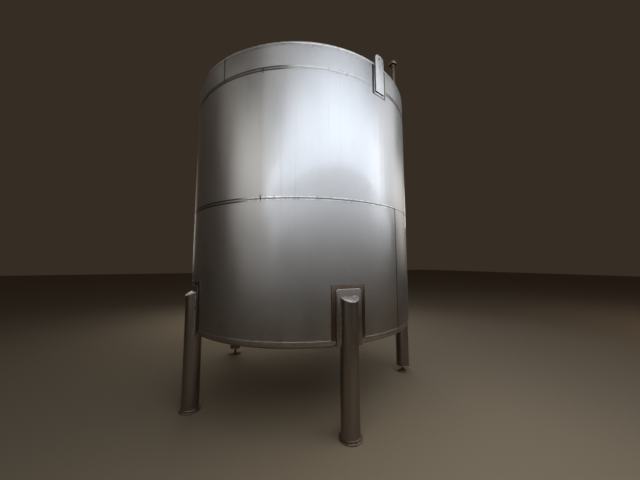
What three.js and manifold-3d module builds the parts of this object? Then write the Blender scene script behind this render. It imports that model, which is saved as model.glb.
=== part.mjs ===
// A vertical storage tank in stainless steel sheet, about 17 cubic metres.
// Three courses of rolled sheet stand on a shallow conical bottom head and carry a shallow conical roof.
// Five pipe legs are coped against saddles welded to the lowest course, each on an adjustable foot.
//
// Units are millimetres and degrees. Z is up and the floor is at zero. An azimuth is measured round the
// tank's axis: 0 is the front leg, towards -Y, and azimuths grow to the right seen from the front.

import * as THREE from 'three';
import { mergeVertices } from 'three/addons/utils/BufferGeometryUtils.js';
import Module from 'manifold-3d';

const wasm = await Module();
wasm.setup();

// Fits
const GAP = 0.3; // left between neighbouring pieces
const FACET = 4; // degrees a facet on the round walls
const PLATE_FACET = 1.7; // degrees a facet on the small rolled plates

// Shell
const SHELL_RADIUS = 1400;
const SHEET_WIDTH = 1250; // stock width, the height of a full course
const SHEETS_PER_COURSE = 3;
const PLATE = 4;
const BOTTOM_WELD = 817; // height of the weld between bottom head and lowest course
const ROOF_WELD = 3555; // height of the weld between top course and roof
const COURSES = [
  { name: 'lower', bottom: BOTTOM_WELD, top: BOTTOM_WELD + SHEET_WIDTH, seam: 27.6 },
  { name: 'middle', bottom: BOTTOM_WELD + SHEET_WIDTH, top: BOTTOM_WELD + 2 * SHEET_WIDTH, seam: -33.1 },
  { name: 'top', bottom: BOTTOM_WELD + 2 * SHEET_WIDTH, top: ROOF_WELD, seam: -52.2 },
];

// Bottom head
const HEAD_FLANGE = 20;
const HEAD_KNUCKLE = 45; // outer radius of the knuckle
const HEAD_SLOPE = 12;

// Roof
const ROOF_FLANGE = 16;
const ROOF_CORNER = 12; // outer radius of the rolled edge
const ROOF_SLOPE = 8;

// Outlet under the bottom head
const OUTLET_RADIUS = 38;
const OUTLET_WALL = 2;
const OUTLET_END = 405; // height of its lower face
const FERRULE_RADIUS = 45.5;
const FERRULE_THICKNESS = 4;

// Manway on the roof
const MANWAY_RADIUS = 225;
const MANWAY_TOP = 3880;
const MANWAY_FLANGE = 15; // how far the neck's flange stands out
const MANWAY_FLANGE_THICKNESS = 8;
const MANWAY_SIDES = 48;
const LID_OVERHANG = 5;
const LID_CROWN = 40;
const LID_DISH_RADIUS = 213;
const LID_DISH = [[1, 0], [0.9, 0.2], [0.68, 0.57], [0.36, 0.9], [0, 1]]; // shares of its radius and crown

// Vent behind the rim
const VENT_AZIMUTH = 34.9;
const VENT_CIRCLE = 1358; // its distance from the tank's axis
const VENT_RADIUS = 24.15;
const VENT_WALL = 2;
const VENT_COLLAR_RADIUS = 28; // of the coupling that carries the cap
const VENT_COLLAR_BOTTOM = 3824;
const VENT_CAP_RADIUS = 45;
const VENT_CAP_BOTTOM = 3859;
const VENT_CAP_TOP = 3895;
const VENT_CAP_WALL = 3;
const VENT_CAP_RECESS = 24; // depth of the hollow under the cap
const VENT_SIDES = 24;

// Lifting lugs
const LUGS = [
  { side: 'right', azimuth: 17.5 },
  { side: 'left', azimuth: 197.5 },
];
const LUG_WIDTH = 130;
const LUG_THICKNESS = 10;
const LUG_BOTTOM = 3258;
const LUG_TOP = 3680;
const LUG_CORNER = 45;
const LUG_HOLE_RADIUS = 12.5;
const LUG_HOLE_DROP = 33; // from the top edge to the middle of the hole
const LUG_PAD_HALF_ANGLE = 3.9;
const LUG_PAD_BOTTOM = 3231;
const LUG_PAD_TOP = 3551;

// Legs
const LEGS = [
  { side: 'front', azimuth: 0, pipeEnd: 24 },
  { side: 'right', azimuth: 72, pipeEnd: 70 },
  { side: 'rear_right', azimuth: 144, pipeEnd: 90 },
  { side: 'rear_left', azimuth: 216, pipeEnd: 90 },
  { side: 'left', azimuth: 288, pipeEnd: 24 },
];
const PIPE_RADIUS = 84.15;
const PIPE_WALL = 3;
const PIPE_SIDES = 32;
const END_PLATE = 10;
const PAD_HALF_ANGLE = 4 * PLATE_FACET;
const PAD_TOP = 1290;
const SADDLE_HALF_ANGLE = 3 * PLATE_FACET;
const SADDLE_PLATE = 6;
const SADDLE_TOP = 1253;
const SADDLE_BOTTOM = 755;
const SADDLE_CORNER = 25;
const CAP_RADIUS = 90;
const CAP_PLATE = 5;
const CAP_SLOPE = 27.5;
const CAP_AT_SADDLE = 1192; // height of the cap's upper face where it meets the saddle

// Feet
const FOOT_RADIUS = 105;
const FOOT_THICKNESS = 15;
const FOOT_HUB_RADIUS = 32;
const FOOT_HUB_TOP = 22;
const SPINDLE_RADIUS = 15;
const SPINDLE_REACH = 45; // how far the spindle runs up inside the pipe

// Worked out from the dimensions above
const padInner = SHELL_RADIUS + 2 * GAP;
const padOuter = padInner + PLATE;
const saddleInner = padOuter + GAP;
const saddleOuter = saddleInner + SADDLE_PLATE;
const frontReach = SHELL_RADIUS + FOOT_RADIUS;
const footprintShift = (frontReach - SHELL_RADIUS) / 2;

const shellSteel = new THREE.MeshStandardMaterial({ color: 0xb4b7b8, roughness: 0.34, metalness: 1 });
const plateSteel = new THREE.MeshStandardMaterial({ color: 0x9c9a95, roughness: 0.4, metalness: 1 });
const pipeSteel = new THREE.MeshStandardMaterial({ color: 0x8b8680, roughness: 0.42, metalness: 1 });
const turnedSteel = new THREE.MeshStandardMaterial({ color: 0xa8a9a8, roughness: 0.3, metalness: 1 });

const radians = THREE.MathUtils.degToRad;

function signedVolume(positions, triangles) {
  const [a, b, c] = [new THREE.Vector3(), new THREE.Vector3(), new THREE.Vector3()];
  let volume = 0;
  for (let i = 0; i < triangles.length; i += 3) {
    a.fromArray(positions, 3 * triangles[i]);
    b.fromArray(positions, 3 * triangles[i + 1]);
    c.fromArray(positions, 3 * triangles[i + 2]);
    volume += a.dot(b.cross(c)) / 6;
  }
  return volume;
}

// A geometry as a solid: corners merged, faces of no area dropped, every face pointing out
function solid(geometry) {
  geometry.deleteAttribute('normal');
  geometry.deleteAttribute('uv');
  const merged = mergeVertices(geometry, 1e-3);
  const indices = merged.index.array;
  const kept = [];
  for (let i = 0; i < indices.length; i += 3) {
    const corners = [indices[i], indices[i + 1], indices[i + 2]];
    if (new Set(corners).size === 3) kept.push(...corners);
  }
  const vertProperties = new Float32Array(merged.attributes.position.array);
  const triVerts = new Uint32Array(kept);
  if (signedVolume(vertProperties, triVerts) < 0) triVerts.reverse();
  return new wasm.Manifold(new wasm.Mesh({ numProp: 3, vertProperties, triVerts }));
}

function geometryOf(shape) {
  const { vertProperties, triVerts } = shape.getMesh();
  const geometry = new THREE.BufferGeometry();
  geometry.setAttribute('position', new THREE.BufferAttribute(vertProperties, 3));
  geometry.setIndex(new THREE.BufferAttribute(triVerts, 1));
  geometry.computeVertexNormals();
  return geometry;
}

function piece(name, shape, material) {
  const mesh = new THREE.Mesh(geometryOf(shape), material);
  mesh.name = name;
  return mesh;
}

// A closed outline of [radius, height] points turned about the Z axis
function revolve(outline, sides = 360 / FACET) {
  const points = [...outline, outline[0]].map(([r, z]) => new THREE.Vector2(r, z));
  return solid(new THREE.LatheGeometry(points, sides).rotateX(Math.PI / 2));
}

// Points of an arc in the [radius, height] plane, with angles from the outward horizontal
function arc(centre, radius, from, to, steps) {
  return Array.from({ length: steps + 1 }, (_, i) => {
    const angle = radians(from + ((to - from) * i) / steps);
    return [centre[0] + radius * Math.cos(angle), centre[1] + radius * Math.sin(angle)];
  });
}

// A flat outline raised from one height to another
function raise(shape, bottom, top, curveSegments = 6) {
  const settings = { depth: top - bottom, bevelEnabled: false, curveSegments };
  return solid(new THREE.ExtrudeGeometry(shape, settings).translate(0, 0, bottom));
}

// A plate rolled about the tank's axis, between two azimuths and two heights
function rolledPlate(inner, outer, from, to, bottom, top, facets) {
  const [start, end] = [radians(from - 90), radians(to - 90)];
  const shape = new THREE.Shape();
  shape.absarc(0, 0, outer, start, end, false);
  shape.absarc(0, 0, inner, end, start, true);
  return raise(shape, bottom, top, facets / 2);
}

// A flat outline drawn in X and Z, standing upright with its back at one distance from the axis
function upright(shape, back, thickness, curveSegments = 6) {
  const settings = { depth: thickness, bevelEnabled: false, curveSegments };
  return solid(new THREE.ExtrudeGeometry(shape, settings).rotateX(Math.PI / 2).translate(0, -back, 0));
}

// An upright rectangle whose two upper corners are rounded
function roundedTop(halfWidth, bottom, top, corner) {
  const shape = new THREE.Shape();
  shape.moveTo(-halfWidth, bottom);
  shape.lineTo(halfWidth, bottom);
  shape.lineTo(halfWidth, top - corner);
  shape.absarc(halfWidth - corner, top - corner, corner, 0, Math.PI / 2, false);
  shape.absarc(corner - halfWidth, top - corner, corner, Math.PI / 2, Math.PI, false);
  return shape;
}

// Outer line of the bottom head, from its weld down and in to a radius on the cone
function headLine(offset, toRadius) {
  const centre = [SHELL_RADIUS - HEAD_KNUCKLE, BOTTOM_WELD - HEAD_FLANGE];
  const knuckle = arc(centre, HEAD_KNUCKLE + offset, 0, HEAD_SLOPE - 90, 5);
  const [endRadius, endHeight] = knuckle[knuckle.length - 1];
  const fall = (endRadius - toRadius) * Math.tan(radians(HEAD_SLOPE));
  return [[SHELL_RADIUS + offset, BOTTOM_WELD - GAP], ...knuckle, [toRadius, endHeight - fall]];
}

// Outer line of the roof, from its weld up and in to a radius on the cone
function roofLine(offset, toRadius) {
  const centre = [SHELL_RADIUS - ROOF_CORNER, ROOF_WELD + ROOF_FLANGE];
  const corner = arc(centre, ROOF_CORNER + offset, 0, 90 - ROOF_SLOPE, 4);
  const [endRadius, endHeight] = corner[corner.length - 1];
  const rise = (endRadius - toRadius) * Math.tan(radians(ROOF_SLOPE));
  return [[SHELL_RADIUS + offset, ROOF_WELD + GAP], ...corner, [toRadius, endHeight + rise]];
}

function roofHeight(radius) {
  return roofLine(0, radius).at(-1)[1];
}

function headHeight(radius) {
  return headLine(0, radius).at(-1)[1];
}

function buildShell(tank) {
  const span = 360 / SHEETS_PER_COURSE;
  const halfGap = THREE.MathUtils.radToDeg(GAP / SHELL_RADIUS) / 2;
  for (const course of COURSES) {
    for (let i = 0; i < SHEETS_PER_COURSE; i += 1) {
      const from = course.seam + i * span + halfGap;
      const to = from + span - 2 * halfGap;
      const [inner, bottom, top] = [SHELL_RADIUS - PLATE, course.bottom, course.top - GAP];
      const sheet = rolledPlate(inner, SHELL_RADIUS, from, to, bottom, top, span / FACET);
      tank.add(piece(`${course.name}_course_sheet_${i + 1}`, sheet, shellSteel));
    }
  }
}

function buildBottomHead(tank) {
  const hole = OUTLET_RADIUS + GAP;
  const outline = [...headLine(0, hole), ...headLine(-PLATE, hole).reverse()];
  tank.add(piece('bottom_head', revolve(outline), shellSteel));
}

function buildRoof(tank) {
  const hole = MANWAY_RADIUS + GAP;
  const plate = revolve([...roofLine(0, hole), ...roofLine(-PLATE, hole).reverse()]);
  const ventHole = new THREE.CylinderGeometry(VENT_RADIUS + GAP, VENT_RADIUS + GAP, 300, VENT_SIDES);
  ventHole.rotateX(Math.PI / 2).translate(0, -VENT_CIRCLE, ROOF_WELD).rotateZ(radians(VENT_AZIMUTH));
  tank.add(piece('roof', plate.subtract(solid(ventHole)), shellSteel));
}

function buildOutlet(tank) {
  const bore = OUTLET_RADIUS - OUTLET_WALL;
  const top = headHeight(OUTLET_RADIUS) + 2 * PLATE;
  const taper = FERRULE_RADIUS - OUTLET_RADIUS;
  const outline = [
    [bore, OUTLET_END],
    [FERRULE_RADIUS, OUTLET_END],
    [FERRULE_RADIUS, OUTLET_END + FERRULE_THICKNESS],
    [OUTLET_RADIUS, OUTLET_END + FERRULE_THICKNESS + taper],
    [OUTLET_RADIUS, top],
    [bore, top],
  ];
  tank.add(piece('outlet_nozzle', revolve(outline, 24), turnedSteel));
}

function buildManway(tank) {
  const [inner, flange] = [MANWAY_RADIUS - PLATE, MANWAY_RADIUS + MANWAY_FLANGE];
  const neckBottom = roofHeight(MANWAY_RADIUS) - 3 * PLATE;
  const neck = revolve([
    [inner, neckBottom],
    [MANWAY_RADIUS, neckBottom],
    [MANWAY_RADIUS, MANWAY_TOP - MANWAY_FLANGE_THICKNESS],
    [flange, MANWAY_TOP - MANWAY_FLANGE_THICKNESS],
    [flange, MANWAY_TOP],
    [inner, MANWAY_TOP],
  ], MANWAY_SIDES);
  const lidBottom = MANWAY_TOP + GAP;
  const line = (lift) => LID_DISH.map(([r, z]) => [r * LID_DISH_RADIUS, lidBottom + lift + z * LID_CROWN]);
  const lidEdge = flange + LID_OVERHANG;
  const rim = [[lidEdge, lidBottom], [lidEdge, lidBottom + PLATE]];
  const lid = revolve([...rim, ...line(PLATE), ...line(0).reverse()], MANWAY_SIDES);
  tank.add(piece('manway_neck', neck, plateSteel));
  tank.add(piece('manway_lid', lid, shellSteel));
}

function buildVent(tank) {
  const group = new THREE.Group();
  const bore = VENT_RADIUS - VENT_WALL;
  const skirt = VENT_CAP_RADIUS - VENT_CAP_WALL;
  const underside = VENT_CAP_BOTTOM + VENT_CAP_RECESS;
  const pipeBottom = roofHeight(VENT_CIRCLE) - 25;
  const pipe = revolve([
    [bore, pipeBottom],
    [VENT_RADIUS, pipeBottom],
    [VENT_RADIUS, VENT_COLLAR_BOTTOM],
    [VENT_COLLAR_RADIUS, VENT_COLLAR_BOTTOM],
    [VENT_COLLAR_RADIUS, underside - GAP],
    [bore, underside - GAP],
  ], VENT_SIDES);
  const cap = revolve([
    [0, underside],
    [skirt - 6, underside],
    [skirt, underside - 8],
    [skirt, VENT_CAP_BOTTOM],
    [VENT_CAP_RADIUS, VENT_CAP_BOTTOM],
    [VENT_CAP_RADIUS, VENT_CAP_TOP - 9],
    [VENT_CAP_RADIUS - 2, VENT_CAP_TOP - 5],
    [VENT_CAP_RADIUS * 0.6, VENT_CAP_TOP - 1],
    [0, VENT_CAP_TOP],
  ], VENT_SIDES);
  group.add(piece('vent_pipe', pipe.translate(0, -VENT_CIRCLE, 0), turnedSteel));
  group.add(piece('vent_cap', cap.translate(0, -VENT_CIRCLE, 0), turnedSteel));
  group.rotation.z = radians(VENT_AZIMUTH);
  tank.add(group);
}

function buildLug(tank, { side, azimuth }) {
  const group = new THREE.Group();
  const half = LUG_PAD_HALF_ANGLE;
  const pad = rolledPlate(padInner, padOuter, -half, half, LUG_PAD_BOTTOM, LUG_PAD_TOP, 4);
  const outline = roundedTop(LUG_WIDTH / 2, LUG_BOTTOM, LUG_TOP, LUG_CORNER);
  const hole = new THREE.Path().absarc(0, LUG_TOP - LUG_HOLE_DROP, LUG_HOLE_RADIUS, 0, 2 * Math.PI);
  outline.holes.push(hole);
  const plate = upright(outline, padOuter + GAP, LUG_THICKNESS, 8);
  group.add(piece(`${side}_lug_pad`, pad, plateSteel));
  group.add(piece(`${side}_lifting_lug`, plate, plateSteel));
  group.rotation.z = radians(azimuth);
  tank.add(group);
}

// What the tank and the saddle take away from a leg's pipe
function legCope() {
  const above = SADDLE_TOP + 200;
  const head = revolve([[0, above], [SHELL_RADIUS + GAP, above], ...headLine(GAP, 0).slice(1)]);
  const behind = SHELL_RADIUS - 5;
  const half = PAD_HALF_ANGLE;
  const plates = rolledPlate(behind, saddleOuter + GAP, -half, half, SADDLE_BOTTOM - GAP, above, 8);
  return head.add(plates);
}

// A block whose lower face lies on the cap's slope, a distance below the cap's upper face
function slopedBlock(depth, height) {
  const size = 4 * CAP_RADIUS;
  const block = new THREE.BoxGeometry(size, size, height).translate(0, 0, height / 2 - depth);
  block.rotateX(radians(CAP_SLOPE)).translate(0, -saddleOuter, CAP_AT_SADDLE);
  return solid(block);
}

function buildLeg(tank, cope, { side, azimuth, pipeEnd }) {
  const group = new THREE.Group();
  const pad = rolledPlate(padInner, padOuter, -PAD_HALF_ANGLE, PAD_HALF_ANGLE, BOTTOM_WELD, PAD_TOP, 8);

  const rolled = rolledPlate(
    saddleInner, saddleOuter, -SADDLE_HALF_ANGLE, SADDLE_HALF_ANGLE, SADDLE_BOTTOM, SADDLE_TOP, 6,
  );
  const saddleHalfWidth = saddleOuter * Math.sin(radians(SADDLE_HALF_ANGLE));
  const outline = roundedTop(saddleHalfWidth, SADDLE_BOTTOM, SADDLE_TOP, SADDLE_CORNER);
  const saddle = rolled.intersect(upright(outline, SHELL_RADIUS - 50, 100, 4));

  const bore = PIPE_RADIUS - PIPE_WALL;
  const pipe = revolve([
    [SPINDLE_RADIUS + GAP, pipeEnd],
    [PIPE_RADIUS, pipeEnd],
    [PIPE_RADIUS, SADDLE_TOP],
    [bore, SADDLE_TOP],
    [bore, pipeEnd + END_PLATE],
    [SPINDLE_RADIUS + GAP, pipeEnd + END_PLATE],
  ], PIPE_SIDES).translate(0, -SHELL_RADIUS, 0);
  const coped = pipe.subtract(cope).subtract(slopedBlock(CAP_PLATE + GAP, 4 * CAP_RADIUS));

  const [low, high] = [SADDLE_BOTTOM, SADDLE_TOP];
  const capOutline = [[0, low], [CAP_RADIUS, low], [CAP_RADIUS, high], [0, high]];
  const capColumn = revolve(capOutline, PIPE_SIDES).translate(0, -SHELL_RADIUS, 0);
  const cap = capColumn.intersect(slopedBlock(CAP_PLATE, CAP_PLATE)).subtract(cope);

  const foot = revolve([
    [0, 0],
    [FOOT_RADIUS - 3, 0],
    [FOOT_RADIUS, 3],
    [FOOT_RADIUS, FOOT_THICKNESS - 4],
    [FOOT_RADIUS - 6, FOOT_THICKNESS],
    [FOOT_HUB_RADIUS + 8, FOOT_THICKNESS + 2],
    [FOOT_HUB_RADIUS, FOOT_HUB_TOP],
    [SPINDLE_RADIUS, FOOT_HUB_TOP],
    [SPINDLE_RADIUS, pipeEnd + SPINDLE_REACH],
    [0, pipeEnd + SPINDLE_REACH],
  ], PIPE_SIDES).translate(0, -SHELL_RADIUS, 0);

  group.add(piece(`${side}_leg_pad`, pad, plateSteel));
  group.add(piece(`${side}_leg_saddle`, saddle, plateSteel));
  group.add(piece(`${side}_leg_pipe`, coped, pipeSteel));
  group.add(piece(`${side}_leg_cap`, cap, plateSteel));
  group.add(piece(`${side}_leg_foot`, foot, turnedSteel));
  group.rotation.z = radians(azimuth);
  tank.add(group);
}

function buildTank() {
  const tank = new THREE.Group();
  buildShell(tank);
  buildBottomHead(tank);
  buildRoof(tank);
  buildOutlet(tank);
  buildManway(tank);
  buildVent(tank);
  for (const lug of LUGS) buildLug(tank, lug);
  const cope = legCope();
  for (const leg of LEGS) buildLeg(tank, cope, leg);
  // The front leg reaches further than the shell's back: the footprint's middle is the origin
  tank.position.y = footprintShift;
  return tank;
}

const group = new THREE.Group();
group.add(buildTank());

export default group;
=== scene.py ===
"""Dresses a stainless steel storage tank: skins, beads, fittings, finishes, floor, light and camera."""

import logging
import math
from dataclasses import dataclass, field
from enum import Enum
from typing import Callable, Sequence

import bpy
from mathutils import Matrix, Vector, noise


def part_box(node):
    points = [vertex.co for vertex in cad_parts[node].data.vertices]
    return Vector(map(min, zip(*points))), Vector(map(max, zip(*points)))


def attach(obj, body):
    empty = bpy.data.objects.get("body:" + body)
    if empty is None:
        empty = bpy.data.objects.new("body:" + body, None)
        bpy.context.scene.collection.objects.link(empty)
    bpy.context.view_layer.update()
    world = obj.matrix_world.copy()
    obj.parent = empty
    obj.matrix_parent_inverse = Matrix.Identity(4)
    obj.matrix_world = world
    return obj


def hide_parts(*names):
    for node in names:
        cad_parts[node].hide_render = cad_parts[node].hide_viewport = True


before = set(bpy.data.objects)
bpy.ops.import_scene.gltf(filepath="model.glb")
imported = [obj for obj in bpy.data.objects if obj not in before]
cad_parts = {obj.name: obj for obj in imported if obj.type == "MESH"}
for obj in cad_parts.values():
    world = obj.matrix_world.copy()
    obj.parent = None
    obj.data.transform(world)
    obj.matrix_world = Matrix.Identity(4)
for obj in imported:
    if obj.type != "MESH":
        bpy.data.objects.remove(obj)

logging.basicConfig(level=logging.INFO, format="%(message)s")
log = logging.getLogger("tank")

MM = 0.001
BODY = "root"
LOW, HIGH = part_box("roof")
TANK_AXIS = Vector(((LOW.x + HIGH.x) / 2, (LOW.y + HIGH.y) / 2, 0.0))

Material = bpy.types.Material
Socket = bpy.types.NodeSocket
Pair = tuple[float, float]
Outline = tuple[Pair, ...]  # radius and height pairs of a turned body
Path = list[tuple[Vector, Vector]]  # points on a joint, each with the direction in which a bead stands up


# Colour and shader helpers


def linear(code: str) -> tuple[float, float, float, float]:
    """Turns an sRGB hex colour into the linear colour that shaders take.

    Args:
        code: Six hex digits after a hash sign.

    Returns:
        Red, green, blue and an alpha of 1.
    """
    parts = [int(code[i : i + 2], 16) / 255 for i in (1, 3, 5)]
    red, green, blue = (c / 12.92 if c <= 0.04045 else ((c + 0.055) / 1.055) ** 2.4 for c in parts)
    return red, green, blue, 1.0


class Step(Enum):
    """Steps that materials and soft panels are put together from.

    Each has the node's type, its settings, the inputs that take its values in turn, and the output that
    is read.
    """

    ADD = ("ShaderNodeMath", {"operation": "ADD"}, (0, 1), 0)
    SUBTRACT = ("ShaderNodeMath", {"operation": "SUBTRACT"}, (0, 1), 0)
    MULTIPLY = ("ShaderNodeMath", {"operation": "MULTIPLY"}, (0, 1), 0)
    DIVIDE = ("ShaderNodeMath", {"operation": "DIVIDE"}, (0, 1), 0)
    MINIMUM = ("ShaderNodeMath", {"operation": "MINIMUM"}, (0, 1), 0)
    MAXIMUM = ("ShaderNodeMath", {"operation": "MAXIMUM"}, (0, 1), 0)
    ABSOLUTE = ("ShaderNodeMath", {"operation": "ABSOLUTE"}, (0,), 0)
    FLOOR = ("ShaderNodeMath", {"operation": "FLOOR"}, (0,), 0)
    REMAINDER = ("ShaderNodeMath", {"operation": "FLOORED_MODULO"}, (0, 1), 0)
    WRAP = ("ShaderNodeMath", {"operation": "WRAP"}, (0, 1, 2), 0)
    BEARING = ("ShaderNodeMath", {"operation": "ARCTAN2"}, (0, 1), 0)
    SHIFT = ("ShaderNodeVectorMath", {"operation": "SUBTRACT"}, (0, 1), 0)
    DISTANCE = ("ShaderNodeVectorMath", {"operation": "DISTANCE"}, (0, 1), "Value")
    AXES = ("ShaderNodeSeparateXYZ", {}, (0,), 0)
    PLACE = ("ShaderNodeTexCoord", {}, (), "Object")
    PANEL_PLACE = ("ShaderNodeNewGeometry", {}, (), "Parametric")
    STRETCH = ("ShaderNodeMapping", {}, ("Vector", "Scale", "Location"), 0)
    CLOUD = ("ShaderNodeTexNoise", {}, ("Vector", "Scale", "Detail", "Roughness"), "Fac")
    TONE = ("ShaderNodeTexWhiteNoise", {"noise_dimensions": "1D"}, ("W",), 0)
    RAMP = ("ShaderNodeMapRange", {"interpolation_type": "SMOOTHSTEP"}, (0, 1, 2, 3, 4), 0)
    BLEND = ("ShaderNodeMix", {"data_type": "RGBA"}, ("Factor", 6, 7), 2)
    RELIEF = ("ShaderNodeBump", {}, ("Height", "Distance", "Normal"), 0)
    SURFACE = ("ShaderNodeBsdfPrincipled", {}, (), 0)
    OUTPUT = ("ShaderNodeOutputMaterial", {}, ("Surface",), None)


@dataclass
class NodeWork:
    """A node tree under construction.

    Args:
        tree: Blender's node tree.
    """

    tree: bpy.types.NodeTree

    def add(self, step: Step, *values: object, **named: object) -> Socket | None:
        """Adds one node with its settings, its values and its links.

        Args:
            step: Which node it is.
            *values: What its inputs take in turn, each a plain value or the output that feeds it.
            **named: What further inputs take, by name, with underscores for spaces.

        Returns:
            The output that the step is read at, if it has one.
        """
        kind, settings, inputs, output = step.value
        node = self.tree.nodes.new(kind)
        for key, value in settings.items():
            setattr(node, key, value)
        sockets = dict(zip(inputs, values)) | {key.replace("_", " "): value for key, value in named.items()}
        for key, value in sockets.items():
            if isinstance(value, Socket):
                self.tree.links.new(value, node.inputs[key])
            else:
                node.inputs[key].default_value = value
        return None if output is None else node.outputs[output]


class Shader(NodeWork):
    """A material under construction, with the places and patterns that its masks need."""

    def __init__(self, name: str) -> None:
        """Starts an empty material whose coordinates are metres from the tank's own axis.

        Args:
            name: The material's name.
        """
        self.material = bpy.data.materials.new(name)
        self.material.use_nodes = True
        super().__init__(self.material.node_tree)
        self.tree.nodes.clear()
        self.place = self.add(Step.SHIFT, self.add(Step.PLACE), tuple(TANK_AXIS))

    def cylinder(self) -> tuple[Socket, Socket]:
        """Reads the azimuth round the tank and the height.

        Returns:
            The azimuth in radians, and the height in metres.
        """
        axes = self.add(Step.AXES, self.place).node.outputs
        toward = self.add(Step.MULTIPLY, axes["Y"], -1.0)
        return self.add(Step.BEARING, axes["X"], toward), axes["Z"]

    def pattern(
        self,
        size: float,
        detail: float = 3.0,
        stretch: tuple[float, float, float] = (1, 1, 1),
        seed: float = 0.0,
    ) -> Socket:
        """Makes a soft random pattern.

        Args:
            size: The pattern's grain in millimetres.
            detail: How many finer layers lie on it.
            stretch: How much longer the grain is along each axis.
            seed: Moves the pattern, so that two of them differ.

        Returns:
            A value from 0 to 1.
        """
        scale = tuple(1.0 / s for s in stretch)
        moved = self.add(Step.STRETCH, self.place, scale, (seed, seed, seed))
        return self.add(Step.CLOUD, moved, 1.0 / (size * MM), detail, 0.55)

    def finish(self, **sockets: object) -> Material:
        """Closes the material with the main shader.

        Args:
            **sockets: What the shader's inputs take, by name, with underscores for spaces.

        Returns:
            The material.
        """
        self.add(Step.OUTPUT, self.add(Step.SURFACE, **sockets))
        return self.material


# Sizes shared by the sub-assemblies


class Course(Enum):
    """The three courses of rolled sheet: bottom and top weld, and the azimuth of the first upright seam."""

    LOWER = ("lower", 817.0, 2067.0, 27.6)
    MIDDLE = ("middle", 2067.0, 3317.0, -33.1)
    TOP = ("top", 3317.0, 3555.0, -52.2)

    @property
    def label(self) -> str:
        """Name of the course."""
        return self.value[0]

    @property
    def bottom(self) -> float:
        """Height of the weld below it."""
        return self.value[1]

    @property
    def top(self) -> float:
        """Height of the weld above it."""
        return self.value[2]

    @property
    def seam(self) -> float:
        """Azimuth of its first upright seam."""
        return self.value[3]


class Leg(Enum):
    """The five legs: name, azimuth and height of the pipe's lower end."""

    FRONT = ("front", 0.0, 24.0)
    RIGHT = ("right", 72.0, 70.0)
    REAR_RIGHT = ("rear_right", 144.0, 90.0)
    REAR_LEFT = ("rear_left", 216.0, 90.0)
    LEFT = ("left", 288.0, 24.0)


class Lug(Enum):
    """The two lifting lugs: name and azimuth."""

    RIGHT = ("right", 17.5)
    LEFT = ("left", 197.5)


@dataclass(frozen=True)
class LevelWeld:
    """A weld that runs round the tank.

    Args:
        label: Its name.
        height: Its height in millimetres.
        cleaned: How far round from the front it was cleaned, in degrees; beyond that its heat tint was left.
        tint: How strong the heat tint beyond is, as a share; part of it is painted shade for the tank's
            darker sides.
        wiped: How bright the cleaned stripe beside it is, as a share; where strong it is partly a painted
            highlight.
        root: How dark the painted shadow in the groove at its toe is, as a share.
        peak: How far it stands proud of the sheets, or draws them in where negative, in millimetres.
    """

    label: str
    height: float
    cleaned: float
    tint: float
    wiped: float
    root: float
    peak: float


LEVEL_WELDS = (
    LevelWeld("bottom", 817.0, 180.0, 0.0, 0.2, 0.0, -0.4),
    LevelWeld("middle", 2067.0, 40.0, 0.88, 1.0, 0.75, 0.8),
    LevelWeld("upper", 3317.0, 23.0, 0.88, 0.3, 0.0, -0.4),
    LevelWeld("roof", 3555.0, 20.0, 0.1, 0.4, 0.0, -0.3),
)
SHEETS = 3
RADIUS = 1400.0
SKIN_RADIUS = 1399.0  # the rolled skin's mean radius; weld beads stand up to the full radius
TURN_OVER = math.radians(4.0)  # half the stretch over which a cleaned weld turns to an uncleaned one

KNUCKLE_CENTRE, KNUCKLE_LEVEL, KNUCKLE_BEND = 1355.0, 797.0, 45.0
BOTTOM_SLOPE = math.radians(12.0)
ROOF_EDGE, ROOF_EDGE_LEVEL = 1388.7, 3582.8  # where the roof's slope starts inside its rolled edge
ROOF_SLOPE = math.radians(8.0)

BEAD_STRIPS = 6  # flat strips across a bead
BEAD_SINK = 0.3  # how far a bead's flanks reach below its joint, in millimetres
BEAD_TAPER = 0.45  # size of a bead's ends, as a share of its middle
BEAD_SWING, BEAD_CROWN = 26.0, 11.0  # lengths over which a bead's width and height vary, in millimetres


def spread(start: float, end: float, steps: int) -> list[float]:
    """Spreads values evenly from start to end, both included."""
    return [start + (end - start) * i / steps for i in range(steps + 1)]


def azimuths(count: int) -> list[float]:
    """Spreads azimuths evenly round the whole circle, in degrees."""
    return spread(0.0, 360.0, count)[:-1]


def polar(azimuth: float, radius: float, height: float) -> Vector:
    """Places a point by azimuth in degrees, radius and height in millimetres."""
    angle = math.radians(azimuth)
    return Vector((radius * math.sin(angle), -radius * math.cos(angle), height))


def outward(azimuth: float, lift: float = 0.0) -> Vector:
    """Points away from the axis at an azimuth in degrees, and upwards by a share."""
    return polar(azimuth, 1.0, lift).normalized()


def knuckle_line(radius: float, offset: float = 0.0) -> float:
    """Finds the height of the bottom head's outside at a radius.

    Args:
        radius: Distance from the tank's axis in millimetres.
        offset: How far outside the surface.

    Returns:
        The height in millimetres.
    """
    bend = KNUCKLE_BEND + offset
    tangent = KNUCKLE_CENTRE + bend * math.sin(BOTTOM_SLOPE)
    if radius >= tangent:
        return KNUCKLE_LEVEL - math.sqrt(max(bend * bend - (radius - KNUCKLE_CENTRE) ** 2, 0.0))
    return KNUCKLE_LEVEL - bend * math.cos(BOTTOM_SLOPE) - (tangent - radius) * math.tan(BOTTOM_SLOPE)


def roof_line(radius: float) -> float:
    """Finds the height of the roof's outside at a radius, both in millimetres."""
    return ROOF_EDGE_LEVEL + (ROOF_EDGE - radius) * math.tan(ROOF_SLOPE)


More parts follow.
